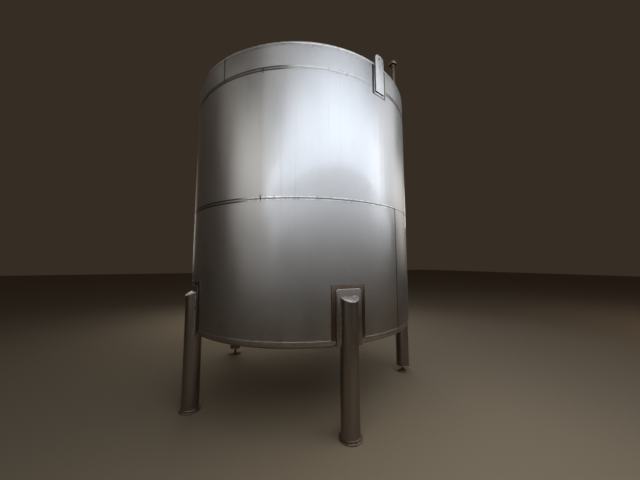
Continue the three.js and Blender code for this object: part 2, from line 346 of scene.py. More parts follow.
def straight_path(start: Sequence[float], end: Sequence[float], up: Sequence[float], steps: int) -> Path:
    """Runs straight from one point to another.

    Args:
        start: The first point in millimetres.
        end: The last point.
        up: The direction in which the bead stands up.
        steps: How many steps lie between them.

    Returns:
        The path.
    """
    columns = [spread(a, b, steps) for a, b in zip(start, end)]
    return [(Vector(point), Vector(up)) for point in zip(*columns)]


def ring_path(radius: float, height: float, lift: float, count: int, centre: Vector | None = None) -> Path:
    """Runs round an upright axis.

    Args:
        radius: The ring's radius in millimetres.
        height: Its height.
        lift: How far its bead leans up, as a share of how far it leans outwards.
        count: How many points it has.
        centre: A point on the upright axis, where that isn't the tank's own.

    Returns:
        The path.
    """
    middle = centre or Vector((0, 0, 0))
    return [(middle + polar(azimuth, radius, height), outward(azimuth, lift)) for azimuth in azimuths(count)]


# Mesh making


@dataclass
class Form:
    """Points and faces in millimetres round the tank's axis, before they become a piece."""

    points: list[Vector] = field(default_factory=list)
    faces: list[tuple[int, ...]] = field(default_factory=list)

    def grid(self, rows: Sequence[Sequence[Vector]], loop: bool = False) -> "Form":
        """Adds a sheet of quads.

        Args:
            rows: Rows of points, all of one length.
            loop: Whether the last row meets the first.

        Returns:
            The form itself.
        """
        start, count, width = len(self.points), len(rows), len(rows[0])
        for row in rows:
            self.points.extend(row)
        for i in range(count if loop else count - 1):
            for j in range(width - 1):
                a, b = start + i * width + j, start + (i + 1) % count * width + j
                self.faces.append((a, b, b + 1, a + 1))
        return self

    def turned(
        self, outline: Sequence[Pair], sides: int, centre: Vector | None = None
    ) -> "Form":
        """Adds a body turned about an upright axis.

        Args:
            outline: Radius and height pairs that run up its outside.
            sides: How many sides it has.
            centre: A point on the upright axis, where that isn't the tank's own.

        Returns:
            The form itself.
        """
        middle = centre or Vector((0, 0, 0))
        rows = [[middle + polar(a, radius, height) for radius, height in outline] for a in azimuths(sides)]
        return self.grid(rows, loop=True)

    def bead(
        self, path: Path, width: float, height: float, loop: bool = False, unevenness: float = 0.25
    ) -> "Form":
        """Lays a rounded weld bead along a path.

        Args:
            path: Where it runs.
            width: Mean width in millimetres.
            height: Mean height in millimetres.
            loop: Whether the bead closes on itself.
            unevenness: How much width and height vary, as a share.

        Returns:
            The form itself.
        """
        rows = []
        count = len(path)
        for i, (point, up) in enumerate(path):
            before = path[i - 1 if loop or i else 0][0]
            after = path[(i + 1) % count if loop else min(i + 1, count - 1)][0]
            side = (after - before).normalized().cross(up).normalized()
            swing = noise.noise(point / BEAD_SWING) * unevenness
            crown = noise.noise(point / BEAD_CROWN + Vector((9, 9, 9))) * unevenness
            taper = 1.0 if loop or 0 < i < count - 1 else BEAD_TAPER
            half, rise = width / 2 * (1 + swing) * taper, height * (1 + crown) * taper
            row = []
            for angle in spread(0.0, math.pi, BEAD_STRIPS):
                out, lift = half * math.cos(angle), rise * math.sin(angle) - BEAD_SINK
                row.append(point + side * out + up * lift)
            rows.append(row)
        return self.grid(rows, loop=loop)

    def piece(
        self, name: str, finish: Material, azimuth: float = 0.0, slot: str = "plate"
    ) -> bpy.types.Object:
        """Makes the object, rides it on the tank and logs it.

        Args:
            name: The piece's name.
            finish: Its material.
            azimuth: How far it is turned about the tank's axis.
            slot: Not used.

        Returns:
            The object.
        """
        turn = Matrix.Rotation(math.radians(azimuth), 4, "Z") @ Matrix.Scale(MM, 4)
        turn = Matrix.Translation(TANK_AXIS) @ turn
        mesh = bpy.data.meshes.new(name)
        mesh.from_pydata([turn @ p for p in self.points], [], self.faces)
        mesh.update()
        for face in mesh.polygons:
            face.use_smooth = True
        mesh.materials.append(finish)
        made = bpy.data.objects.new(name, mesh)
        bpy.context.scene.collection.objects.link(made)
        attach(made, BODY)
        log.info("%s: %d faces", name, len(self.faces))
        return made


def split_edges(piece: bpy.types.Object, angle: float = 35.0) -> None:
    """Keeps edges sharper than an angle in degrees crisp, and shades the rest round."""
    edges = piece.modifiers.new("crisp_edges", "EDGE_SPLIT")
    edges.split_angle = math.radians(angle)


def dress(node: str, finish: Material, edge: float = 0.0) -> None:
    """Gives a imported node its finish, rounds its shading and breaks its edges.

    Args:
        node: The node's name.
        finish: Its material.
        edge: Radius of its broken edges in millimetres, or 0 for none.
    """
    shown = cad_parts[node]
    shown.data.materials.clear()
    shown.data.materials.append(finish)
    for face in shown.data.polygons:
        face.material_index = 0
        face.use_smooth = True
    packed_normals = shown.data.attributes.get("custom_normal")
    if packed_normals is not None:
        shown.data.attributes.remove(packed_normals)
    joined = shown.modifiers.new("joined_corners", "WELD")
    joined.merge_threshold = 0.05 * MM
    if edge:
        broken = shown.modifiers.new("broken_edges", "BEVEL")
        broken.width = edge * MM
        broken.segments = 2
        broken.limit_method = "ANGLE"
        broken.angle_limit = math.radians(40)
    split_edges(shown)
    log.info("%s: finish %s", node, finish.name)


# Finishes


@dataclass(frozen=True)
class ColdRolledSheet:
    """Austenitic stainless sheet, cold rolled, pickled and skin-passed: an even, softly mirroring grey.

    The skin pass leaves smooth lands between tiny etched pits, so a clear reflection lies in a wide
    haze. Lands and pits are really under 0.1 mm wide and are drawn 1.1 mm wide. Rolling to the tank's
    radius leaves faint upright bands, each sheet has a tone of its own, and beside each weld the steel
    is ground back in a band whose edges keep a grey to brown heat tint. Part of that tint, a dark line in
    each front groove and the bright cleaned stripe are painted shade, painted shadow and painted
    highlight, and the lowest part is painted darker as shade.
    """

    name: str
    seam: float | None = None  # azimuth of the first upright seam
    seam_tint: float = 0.0  # how strong the heat tint beside the upright seams is
    scuffs: tuple[tuple[float, float, float], ...] = ()  # azimuth, height and width of each scuff
    lines: float = 0.06  # how dark the upright lines are that bending left
    steel: str = "#D2D3D4"
    shade: str = "#C9C9C8"
    tint: str = "#3C332B"
    cleaned_steel: str = "#F4F3F0"
    bend_line: str = "#6F6A64"
    warm_haze: str = "#A79C8E"
    brown_film: str = "#857667"
    scuff_grey: str = "#6E6962"
    crossing: float = 48.0  # how far up an upright seam the crossing weld's tint reaches, in millimetres
    tint_band: Pair = (5.5, 20.5)  # where the tint lies beside a level weld, in millimetres
    wiped_band: Pair = (6.0, 17.0)  # where it was cleaned to bright steel
    seam_band: Pair = (3.0, 9.0)  # where the tint lies beside an upright seam
    soft: float = 1.5  # half the softness of a band's edge, in millimetres

    def seam_turn(self, shader: Shader) -> Socket:
        """Reads the azimuth from the first upright seam on, in radians."""
        return shader.add(Step.SUBTRACT, shader.cylinder()[0], math.radians(self.seam))

    def seam_distance(self, shader: Shader) -> Socket:
        """Measures how far a point lies from the nearest upright seam.

        Args:
            shader: The material under construction.

        Returns:
            The distance in millimetres.
        """
        half = math.pi / SHEETS
        wrapped = shader.add(Step.WRAP, self.seam_turn(shader), half, -half)
        return shader.add(Step.ABSOLUTE, shader.add(Step.MULTIPLY, wrapped, RADIUS))

    def sheet_tone(self, shader: Shader) -> Socket:
        """Gives each sheet of the course a random tone.

        Args:
            shader: The material under construction.

        Returns:
            A value from 0 to 1.
        """
        number = shader.add(Step.FLOOR, shader.add(Step.DIVIDE, self.seam_turn(shader), 2 * math.pi / SHEETS))
        order = shader.add(Step.REMAINDER, number, float(SHEETS))
        return shader.add(Step.TONE, shader.add(Step.ADD, order, math.radians(self.seam)))

    def stripe(self, shader: Shader, distance: Socket, band: Pair) -> Socket:
        """Draws a stripe on each side of a weld.

        Args:
            shader: The material under construction.
            distance: How far a point lies from the weld, in millimetres.
            band: Where the stripe starts and ends.

        Returns:
            The stripe's mask.
        """
        start, end = band
        inner = shader.add(Step.RAMP, distance, start - self.soft, start + self.soft)
        outer = shader.add(Step.RAMP, distance, end + self.soft, end - self.soft)
        return shader.add(Step.MULTIPLY, inner, outer)

    def level_welds(self, shader: Shader, wobble: Socket) -> tuple[Socket, Socket, Socket]:
        """Draws what the level welds left on the sheet.

        Args:
            shader: The material under construction.
            wobble: How uneven the stripes are, in millimetres.

        Returns:
            The distance from the nearest level weld, the heat tint, which is partly painted shade, and the
            cleaned stripe, which is partly painted highlight.
        """
        azimuth, height = shader.cylinder()
        turn, level = shader.add(Step.ABSOLUTE, azimuth), shader.add(Step.MULTIPLY, height, 1 / MM)
        flecks = shader.add(Step.RAMP, shader.pattern(26, seed=3.1), 0.52, 0.66, 0.0, 0.4)
        patches = shader.add(Step.RAMP, shader.pattern(38, seed=8.6), 0.4, 0.6, 0.15, 1.0)
        nearest: object = 1000.0  # farther than any mark reaches, in millimetres
        tint: object = 0.0
        bright: object = 0.0
        for weld in LEVEL_WELDS:
            away = shader.add(Step.ABSOLUTE, shader.add(Step.SUBTRACT, level, weld.height))
            uneven = shader.add(Step.ADD, away, wobble)
            # beyond each weld's cleaned front the heat tint is drawn strong: partly real tint, partly painted
            # shade on the tank's sides
            left, faded = math.radians(weld.cleaned) - TURN_OVER, math.radians(weld.cleaned) + TURN_OVER
            strength = shader.add(Step.RAMP, turn, left, faded, 0.0, weld.tint)
            strength = shader.add(Step.MAXIMUM, strength, flecks)
            lines = shader.add(Step.MULTIPLY, self.stripe(shader, uneven, self.tint_band), strength)
            # painted shadow: a dark line in the groove at the weld's toe, drawn only in front
            if weld.root:
                groove = shader.add(Step.RAMP, away, 6.5, 3.5)
                front = shader.add(Step.RAMP, turn, faded, left, 0.0, weld.root)
                lines = shader.add(Step.MAXIMUM, lines, shader.add(Step.MULTIPLY, groove, front))
            tint = shader.add(Step.MAXIMUM, tint, lines)
            front = shader.add(Step.RAMP, turn, faded, left)
            wiped = shader.add(Step.MULTIPLY, self.stripe(shader, uneven, self.wiped_band), front)
            wiped = shader.add(Step.MULTIPLY, wiped, weld.wiped)
            bright = shader.add(Step.MAXIMUM, bright, shader.add(Step.MULTIPLY, wiped, patches))
            nearest = shader.add(Step.MINIMUM, nearest, away)
        return nearest, tint, bright

    def film(self, shader: Shader) -> Socket:
        """Draws painted shade on the lowest part: darker and browner towards the bottom, for the shadowed
        floor that it reflects.

        Args:
            shader: The material under construction.

        Returns:
            The painted shade's mask.
        """
        low = shader.add(Step.RAMP, shader.cylinder()[1], 1.3, 0.85, 0.0, 0.6)
        patches = shader.add(Step.RAMP, shader.pattern(180, 4, (1, 1, 2), 9.1), 0.3, 0.7, 0.75, 1.0)
        return shader.add(Step.MULTIPLY, low, patches)

    def bend_lines(self, shader: Shader) -> Socket:
        """Draws the fine upright lines that bending left.

        Args:
            shader: The material under construction.

        Returns:
            The lines' mask.
        """
        bent = shader.add(Step.SUBTRACT, shader.pattern(46, 1, (1, 1, 300), 5.5), 0.5)
        fine = shader.add(Step.RAMP, shader.add(Step.ABSOLUTE, bent), 0.018, 0.003)
        where = shader.add(Step.RAMP, shader.pattern(300, 2, (1, 1, 2), 6.0), 0.42, 0.6, 0.25, 1.0)
        return shader.add(Step.MULTIPLY, shader.add(Step.MULTIPLY, fine, where), self.lines)

    def scuffed(self, shader: Shader) -> Socket | None:
        """Draws the scuffs that transport left.

        Args:
            shader: The material under construction.

        Returns:
            One mask for all of them, or None where the sheet has none.
        """
        mask = None
        torn = shader.add(Step.MULTIPLY, shader.pattern(9, seed=4.4), 12.0)
        for azimuth, height, width in self.scuffs:
            away = shader.add(Step.DISTANCE, shader.place, polar(azimuth, RADIUS, height) * MM)
            reach = shader.add(Step.ADD, shader.add(Step.MULTIPLY, away, 1 / MM), torn)
            mark = shader.add(Step.RAMP, reach, width / 2 + 6.0, width / 2)
            mask = mark if mask is None else shader.add(Step.MAXIMUM, mask, mark)
        return mask

    def relief(self, shader: Shader, distance: Socket) -> Socket:
        """Raises the faint bands that rolling left, and sinks the steel that was ground beside the welds.

        Args:
            shader: The material under construction.
            distance: How far a point lies from the nearest weld, in millimetres.

        Returns:
            The normal.
        """
        bands = shader.add(Step.RELIEF, shader.pattern(85, 2, (1, 1, 40), 8.0), 0.07 * MM)
        fine_bands = shader.add(Step.RELIEF, shader.pattern(19, 2, (1, 1, 90), 3.0), 0.02 * MM, bands)
        return shader.add(Step.RELIEF, shader.add(Step.RAMP, distance, 10.0, 13.5), 0.06 * MM, fine_bands)

    def material(self) -> Material:
        """Builds the material.

        Returns:
            The material.
        """
        shader = Shader(self.name)
        wobble = shader.add(Step.MULTIPLY, shader.add(Step.SUBTRACT, shader.pattern(60, 2), 0.5), 5.0)
        distance, line, bright = self.level_welds(shader, wobble)
        tone = shader.add(Step.RAMP, shader.pattern(420, 4, (1, 1, 1.6)), 0.35, 0.65)
        if self.seam is not None:
            upright = self.seam_distance(shader)
            near, far = self.crossing - 20.0, self.crossing
            strength = shader.add(Step.RAMP, distance, far, near, self.seam_tint, 0.9)
            beside = self.stripe(shader, shader.add(Step.ADD, upright, wobble), self.seam_band)
            line = shader.add(Step.MAXIMUM, line, shader.add(Step.MULTIPLY, beside, strength))
            distance = shader.add(Step.MINIMUM, distance, upright)
            sheet = shader.add(Step.MULTIPLY, self.sheet_tone(shader), 0.6)
            tone = shader.add(Step.ADD, shader.add(Step.MULTIPLY, tone, 0.4), sheet)
        haze = shader.add(Step.RAMP, distance, 55.0, 8.0, 0.0, 0.06)

        steel = shader.add(Step.BLEND, tone, linear(self.shade), linear(self.steel))
        steel = shader.add(Step.BLEND, self.bend_lines(shader), steel, linear(self.bend_line))
        steel = shader.add(Step.BLEND, haze, steel, linear(self.warm_haze))
        # painted shade: the lowest part is drawn darker and browner, for the shadowed floor it reflects
        steel = shader.add(Step.BLEND, self.film(shader), steel, linear(self.brown_film))
        # the cleaned stripe beside the welds, near white where strong: partly cleaned steel, partly painted
        # highlight
        steel = shader.add(Step.BLEND, bright, steel, linear(self.cleaned_steel))
        steel = shader.add(Step.BLEND, line, steel, linear(self.tint))
        scuffs = self.scuffed(shader)
        if scuffs is not None:
            worn = shader.add(Step.MULTIPLY, scuffs, 0.5)
            steel = shader.add(Step.BLEND, worn, steel, linear(self.scuff_grey))

        lands = shader.add(Step.RAMP, shader.pattern(1.1, 1, seed=7.0), 0.41, 0.47, 0.1, 0.36)
        smears = shader.add(Step.RAMP, shader.pattern(260, 5, (1, 1, 3), 2.2), 0.3, 0.7, -0.01, 0.02)
        roughness = shader.add(Step.ADD, lands, smears)
        normal = self.relief(shader, distance)
        return shader.finish(Base_Color=steel, Metallic=1.0, Roughness=roughness, Normal=normal)


@dataclass(frozen=True)
class PickledPlate:
    """Hot-rolled stainless plate, pickled: greyer and rougher than sheet, browned where welding heated it.

    The real grain is under 0.2 mm wide and is drawn 3 mm wide.
    """

    name: str
    steel: str = "#B4B0AA"
    brown: str = "#8A7C6E"
    browning: float = 0.4
    roughness: float = 0.34
    grain: float = 0.02  # depth of the surface's grain in millimetres
    tinted_from: float | None = None  # distance from a lug's middle where heat tint and painted shade start, in millimetres
    tinted_below: Pair = (3.262, 3.252)  # heights between which a painted shadow darkens a lug pad below the lug's foot
    tint: str = "#302C25"

    def lug_tint(self, shader: Shader) -> Socket:
        """Draws heat tint and painted shade along both sides of a lug's pad, and a painted shadow at the
        foot.

        Args:
            shader: The material under construction.

        Returns:
            The mask of tint, painted shade and painted shadow.
        """
        turned = shader.add(Step.SUBTRACT, shader.cylinder()[0], math.radians(Lug.RIGHT.value[1]))
        turned = shader.add(Step.WRAP, turned, math.pi / 2, -math.pi / 2)
        across = shader.add(Step.MULTIPLY, shader.add(Step.ABSOLUTE, turned), RADIUS)
        sides = shader.add(Step.RAMP, across, self.tinted_from, self.tinted_from + 5.0, 0.0, 0.9)
        # painted shadow under the lug's foot
        foot = shader.add(Step.RAMP, shader.cylinder()[1], *self.tinted_below, 0.0, 0.3)
        return shader.add(Step.MAXIMUM, sides, foot)

    def material(self) -> Material:
        """Builds the material.

        Returns:
            The material.
        """
        shader = Shader(self.name)
        cloud = shader.pattern(130, 4, (1, 1, 3), 1.7)
        patches = shader.add(Step.RAMP, cloud, 0.3, 0.7, 0.0, 2 * self.browning)
        share = shader.add(Step.MINIMUM, patches, 0.95)
        steel = shader.add(Step.BLEND, share, linear(self.steel), linear(self.brown))
        if self.tinted_from is not None:
            steel = shader.add(Step.BLEND, self.lug_tint(shader), steel, linear(self.tint))
        smooth, rough = self.roughness - 0.04, self.roughness + 0.07
        roughness = shader.add(Step.RAMP, shader.pattern(35, 4), 0.3, 0.7, smooth, rough)
        normal = shader.add(Step.RELIEF, shader.pattern(3), self.grain * MM)
        return shader.finish(Base_Color=steel, Metallic=1.0, Roughness=roughness, Normal=normal)


@dataclass(frozen=True)
class WeldedPipe:
    """Stainless pipe, rolled, seam welded and belt-ground: long soft reflections, browned by handling.

    The belt's real lines are about 0.1 mm apart and are drawn 5 mm apart.
    """

    name: str
    steel: str = "#968E86"
    brown: str = "#7D7166"
    dust: str = "#8A8175"

    def material(self) -> Material:
        """Builds the material.

        Returns:
            The material.
        """
        shader = Shader(self.name)
        streaks = shader.add(Step.RAMP, shader.pattern(60, 4, (1, 1, 14), 4.0), 0.3, 0.7, 0.0, 0.7)
        steel = shader.add(Step.BLEND, streaks, linear(self.steel), linear(self.brown))
        low = shader.add(Step.RAMP, shader.cylinder()[1], 0.32, 0.03, 0.0, 0.3)
        dust = shader.add(Step.MULTIPLY, low, shader.add(Step.RAMP, shader.pattern(30, 5), 0.35, 0.65))
        steel = shader.add(Step.BLEND, dust, steel, linear(self.dust))
        roughness = shader.add(Step.RAMP, shader.pattern(40, 4, (1, 1, 8), 6.0), 0.3, 0.7, 0.3, 0.38)
        normal = shader.add(Step.RELIEF, shader.pattern(5, 2, (1, 1, 40)), 0.01 * MM)
        return shader.finish(Base_Color=steel, Metallic=1.0, Roughness=roughness, Normal=normal)


@dataclass(frozen=True)
class WeldMetal:
    """Weld metal left as laid: bright crowns in fine ripples between straw and brown flanks.

    Real ripples are 2 mm apart, too fine for the render, so they are drawn 9 mm apart.
    """

    name: str
    bright: str = "#D4D2CC"
    tint: str = "#7A6653"
    tinting: float = 0.45
    ripple: float = 0.7  # depth of the ripples in millimetres
    uncleaned: str | None = None  # its colour where the heat tint was left, partly painted shade on the tank's sides
    cleaned: float = 180.0  # how far round from the front it was cleaned, in degrees

    def material(self) -> Material:
        """Builds the material.

        Returns:
            The material.
        """
        shader = Shader(self.name)
        patches = shader.add(Step.RAMP, shader.pattern(34, seed=2.0), 0.35, 0.65, 0.0, 2 * self.tinting)
        share = shader.add(Step.MINIMUM, patches, 0.95)
        metal = shader.add(Step.BLEND, share, linear(self.bright), linear(self.tint))
        if self.uncleaned is not None:
            turn, edge = shader.add(Step.ABSOLUTE, shader.cylinder()[0]), math.radians(self.cleaned)
            left = shader.add(Step.RAMP, turn, edge - TURN_OVER, edge + TURN_OVER)
            metal = shader.add(Step.BLEND, left, metal, linear(self.uncleaned))
        ripples = shader.add(Step.RELIEF, shader.pattern(9, 1), self.ripple * MM)
        roughness = shader.add(Step.RAMP, shader.pattern(18, 2), 0.3, 0.7, 0.28, 0.48)
        return shader.finish(Base_Color=metal, Metallic=1.0, Roughness=roughness, Normal=ripples)


@dataclass(frozen=True)
class TurnedSteel:
    """Stainless bar and fittings, turned on a lathe: fine level rings that spread the light up and down.

    The real rings are 0.1 to 0.2 mm apart and are drawn 1.5 mm apart.
    """

    name: str
    steel: str = "#B1AFAA"
    shade: str = "#8C867E"
    roughness: float = 0.28

    def material(self) -> Material:
        """Builds the material.

        Returns:
            The material.
        """
        shader = Shader(self.name)
        stain = shader.add(Step.RAMP, shader.pattern(24, 4), 0.35, 0.68)
        steel = shader.add(Step.BLEND, stain, linear(self.steel), linear(self.shade))
        smooth, rough = self.roughness - 0.04, self.roughness + 0.1
        roughness = shader.add(Step.RAMP, shader.pattern(15), 0.3, 0.7, smooth, rough)
        rings = shader.add(Step.RELIEF, shader.pattern(1.5, 1, (30, 30, 1)), 0.02 * MM)
        return shader.finish(Base_Color=steel, Metallic=1.0, Roughness=roughness, Normal=rings)


@dataclass(frozen=True)
class MouldedSilicone:
    """White silicone gasket, press moulded: dull, with a faint bloom."""

    name: str = "moulded_silicone"
    white: str = "#D9D6CD"
    bloom: str = "#BDB9AE"

    def material(self) -> Material:
        """Builds the material.

        Returns:
            The material.
        """
        shader = Shader(self.name)
        colour = shader.add(Step.BLEND, shader.pattern(20, 4), linear(self.white), linear(self.bloom))
        skin = shader.add(Step.RELIEF, shader.pattern(2, 2), 0.05 * MM)
        return shader.finish(Base_Color=colour, Roughness=0.62, IOR=1.41, Normal=skin)


@dataclass(frozen=True)
class Finishes:
    """The tank's finishes, made once and shared."""

    sheets: dict[Course, Material]
    ends: Material
    pad: Material
    saddle: Material
    cap: Material
    lug: Material
    lug_pad: Material
    pipe: Material
    bead: Material
    bright_bead: Material
    girth_beads: dict[str, Material]
    flush_bead: Material
    dark_bead: Material
    browned_bead: Material
    black_bead: Material
    straw_bead: Material
    turned: Material
    foot: Material
    vent_pipe: Material
    dull_turned: Material
    gasket: Material

    @staticmethod
    def course_sheets() -> dict[Course, Material]:
        """Builds a finish for the sheets of each course.

        Returns:
            The finish of each course.
        """
        tints = {Course.LOWER: 0.85, Course.MIDDLE: 0.06, Course.TOP: 0.8}
        lines = {Course.LOWER: 0.05, Course.MIDDLE: 0.12, Course.TOP: 0.05}
        scuffs = {
            Course.LOWER: ((20.0, 1546.0, 10.0), (20.8, 1237.0, 12.0)),
            Course.MIDDLE: (
                (-25.4, 2493.0, 10.0),
                (-24.4, 2495.0, 9.0),
                (-23.4, 2497.0, 11.0),
                (-22.4, 2500.0, 9.0),
                (-20.7, 2520.0, 9.0),
                (-18.5, 2392.0, 10.0),
                (-16.3, 2485.0, 10.0),
                (-15.6, 2451.0, 8.0),
            ),
            Course.TOP: (),
        }
        sheets = {}
        for course in Course:
            name = f"cold_rolled_sheet_{course.label}"
            sheet = ColdRolledSheet(name, course.seam, tints[course], scuffs[course], lines[course])
            sheets[course] = sheet.material()
        return sheets

    @staticmethod
    def level_weld_metal() -> dict[str, Material]:
        """Builds a finish for each level weld, bright in front and grey where its heat tint was left, partly
        as painted shade on the sides.

        Returns:
            The finish of each weld by its label.
        """
        # the middle weld's bead is drawn dark as a painted shadow line along the weld's centre
        crowns = {"middle": ("#857D74", "#6B6259")}
        metals = {}
        for weld in LEVEL_WELDS:
            bright, tint = crowns.get(weld.label, ("#CFCDC9", "#A3988C"))
            metal = WeldMetal(f"weld_metal_{weld.label}", bright, tint, 0.3, 0.4, "#7F776D", weld.cleaned)
            metals[weld.label] = metal.material()
        return metals

    @classmethod
    def make(cls) -> "Finishes":
        """Builds every finish.

        Returns:
            The finishes.
        """
        return cls(
            sheets=cls.course_sheets(),
            girth_beads=cls.level_weld_metal(),
            ends=ColdRolledSheet("cold_rolled_ends").material(),
            # plate: pads browned by welding heat, saddles greyer, caps ground bright, lugs pale and dull
            pad=PickledPlate("heat_tinted_plate", "#76685D", "#57473B", 0.4).material(),
            saddle=PickledPlate("pickled_plate", "#9B938D", "#756A60", 0.3, 0.36).material(),
            cap=PickledPlate("ground_plate", "#E2E0E1", "#BDB6B0", 0.12, 0.3, 0.008).material(),
            lug=PickledPlate("pickled_lug_plate", "#D6D7D6", "#C6C3BD", 0.15, 0.46).material(),
            lug_pad=PickledPlate(
                "pickled_lug_pad", "#BFC0BF", "#B0AFAA", browning=0.1, roughness=0.3, tinted_from=76.0
            ).material(),
            pipe=WeldedPipe("welded_pipe").material(),
            # beads: left as laid, brushed bright, ground flush, or uncleaned and so brown, black or straw;
            # the black ones also serve as painted shadow and painted shade, and the brushed bright one as a
            # painted highlight
            bead=WeldMetal("weld_metal").material(),
            bright_bead=WeldMetal("brushed_weld_metal_and_highlight", "#F0EFEC", "#CFC6B8", 0.15, 0.3).material(),
            flush_bead=WeldMetal("ground_weld_metal", "#C2C0BC", "#A8A197", 0.3, 0.25).material(),
            dark_bead=WeldMetal("weld_metal_tinted", "#564C42", "#2E2620", 0.5).material(),
            browned_bead=WeldMetal("weld_metal_browned", "#7C6E60", "#554739", 0.5).material(),
            black_bead=WeldMetal("weld_metal_blackened_and_shadow", "#35312A", "#211D18", 0.5, 0.4).material(),
            straw_bead=WeldMetal("weld_metal_straw", "#B89A88", "#7E6454", 0.4, 0.2).material(),
            # fittings: clean and bright, or stained brown and duller by wet floors and by vapour
            turned=TurnedSteel("turned_steel").material(),
            foot=TurnedSteel("stained_steel_foot", "#94877A", "#6E5F51", 0.5).material(),
            vent_pipe=TurnedSteel("stained_vent_pipe", "#6A6152", "#544B3F", 0.4).material(),
            dull_turned=TurnedSteel("stained_steel", "#8C8172", "#73685A", 0.4).material(),
            gasket=MouldedSilicone().material(),
        )


# Shell


@dataclass
class Shell:
    """Rolled courses, roof and bottom head, with the beads that join them.

    Args:
        finishes: The finishes that it wears.
    """

    finishes: Finishes
    across: float = 0.75  # degrees between upright grid lines
    up: float = 31.25  # millimetres between level grid lines
    near_weld: tuple[float, ...] = (4.0, 9.0, 13.0, 18.0, 25.0)  # closer level grid lines beside a weld
    end_sides: int = 300  # sides of roof and bottom head
    thickness: float = 3.4
    gap: float = 0.02  # degrees left free at each upright edge of a sheet
    dents: tuple[float, float, float] = (0.35, 520.0, 420.0)  # depth, and length round and up the tank
    bands: tuple[float, float, float] = (0.05, 95.0, 2400.0)  # the same, for the bands that rolling left
    pull: tuple[float, float, float] = (0.5, 160.0, 700.0)  # the same, for how unevenly the welds pull
    pull_reach: float = 11.0  # how far from a weld its pull falls to a third, in millimetres
    neck: float = 226.0  # radius of the roof's opening
    outlet: float = 39.0  # radius of the bottom head's opening
    roof_corner: float = 12.0  # radius of the roof's rolled edge
    roof_corner_level: float = 3571.0  # height of that radius's centre
    roof_flange: Outline = ((SKIN_RADIUS - 1.2, 3555.3), (SKIN_RADIUS - 0.3, 3563.0))
    bottom_flange: Outline = ((1398.9, 806.0), (SKIN_RADIUS - 1.6, 816.7))
    bottom_inset: float = 0.8  # how far the bottom head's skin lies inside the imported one
    girth_bead: Pair = (7.0, 1.3)  # width and height
    upright_width: float = 6.0
    upright_step: float = 7.0  # millimetres between an upright bead's points
    crossing_bead: Pair = (12.0, 1.1)
    crossing_reach: float = 20.0  # how far it runs above and below the level weld
    end_seam: Pair = (8.0, 1.4)
    end_seams_at: tuple[float, ...] = (65.0, 185.0, 305.0)  # azimuths

    def skin_radius(self, azimuth: float, height: float) -> float:
        """Gives the skin's radius at a point, with the dents that rolling and welding leave.

        Args:
            azimuth: In degrees.
            height: In millimetres.

        Returns:
            The radius in millimetres.
        """
        point = polar(azimuth, RADIUS, height)
        dent, rolled, uneven = (
            depth * noise.noise(Vector((point.x / wide, point.y / wide, point.z / high)))
            for depth, wide, high in (self.dents, self.bands, self.pull)
        )
        peak = sum(weld.peak * math.exp(-abs(height - weld.height) / self.pull_reach) for weld in LEVEL_WELDS)
        return min(SKIN_RADIUS - 0.2 + dent + rolled + (1.0 + uneven) * peak, RADIUS - 0.2)

    def level_lines(self, course: Course) -> list[float]:
        """Lists the heights of a course's level grid lines.

        Args:
            course: The course.

        Returns:
            The heights, from the lowest up.
        """
        low, high = course.bottom, course.top - 0.6
        even = spread(low, high, round((high - low) / self.up))
        even = [h for h in even if min(h - low, high - h) > self.near_weld[-1] or h in (low, high)]
        close = [low + step for step in self.near_weld] + [high - step for step in self.near_weld]
        return sorted(even + close)

    def sheets(self) -> None:
        """Replaces each packed sheet with a finely divided skin."""
        span = 360 / SHEETS
        columns = round(span / self.across)
        for course in Course:
            levels = self.level_lines(course)
            for index in range(SHEETS):
                first = course.seam + index * span + self.gap
                rows = []
                for i in range(columns + 1):
                    azimuth = first + (span - 2 * self.gap) * i / columns
                    rows.append([polar(azimuth, self.skin_radius(azimuth, z), z) for z in levels])
                node = f"{course.label}_course_sheet_{index + 1}"
                finish = self.finishes.sheets[course]
                skin = Form().grid(rows).piece(f"{node}_skin", finish, slot="rolled_sheet")
                self.thicken(skin)
                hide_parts(node)

    def thicken(self, skin: bpy.types.Object) -> None:
        """Gives a skin the sheet's thickness, inwards.

        Args:
            skin: The skin.
        """
        solid = skin.modifiers.new("sheet_thickness", "SOLIDIFY")
        solid.thickness = self.thickness * MM
        solid.offset = -1.0
        split_edges(skin)

    def roof(self) -> None:
        """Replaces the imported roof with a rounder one."""
        corner_centre = RADIUS - 1.0 - self.roof_corner
        outline = list(self.roof_flange)
        for degrees in spread(0.0, 82.0, 8):
            angle = math.radians(degrees)
            rise = self.roof_corner_level + self.roof_corner * math.sin(angle)
            outline.append((corner_centre + self.roof_corner * math.cos(angle), rise))
        start, level = outline[-1]
        for radius in spread(start, self.neck, 12)[1:]:
            outline.append((radius, level + (start - radius) * math.tan(ROOF_SLOPE)))
        form = Form().turned(outline, self.end_sides)
        skin = form.piece("roof_skin", self.finishes.ends, slot="rolled_sheet")
        self.thicken(skin)
        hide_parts("roof")

    def bottom(self) -> None:
        """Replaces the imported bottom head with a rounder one."""
        cone = spread(self.outlet, KNUCKLE_CENTRE, 13)
        outline = [(radius, knuckle_line(radius, -self.bottom_inset)) for radius in cone]
        bend = KNUCKLE_BEND - self.bottom_inset
        for degrees in spread(-78.0, 0.0, 9):
            angle = math.radians(degrees)
            outline.append((KNUCKLE_CENTRE + bend * math.cos(angle), KNUCKLE_LEVEL + bend * math.sin(angle)))
        outline += self.bottom_flange
        form = Form().turned(outline, self.end_sides)
        skin = form.piece("bottom_head_skin", self.finishes.ends, slot="rolled_sheet")
        self.thicken(skin)
        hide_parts("bottom_head")

    def girth_beads(self) -> None:
        """Lays the level beads between the courses and the ends."""
        for weld in LEVEL_WELDS:
            base = SKIN_RADIUS - 0.4 + min(weld.peak, 0.0)
            form = Form().bead(ring_path(base, weld.height, 0.0, 1440), *self.girth_bead, loop=True)
            form.piece(f"{weld.label}_girth_bead", self.finishes.girth_beads[weld.label])

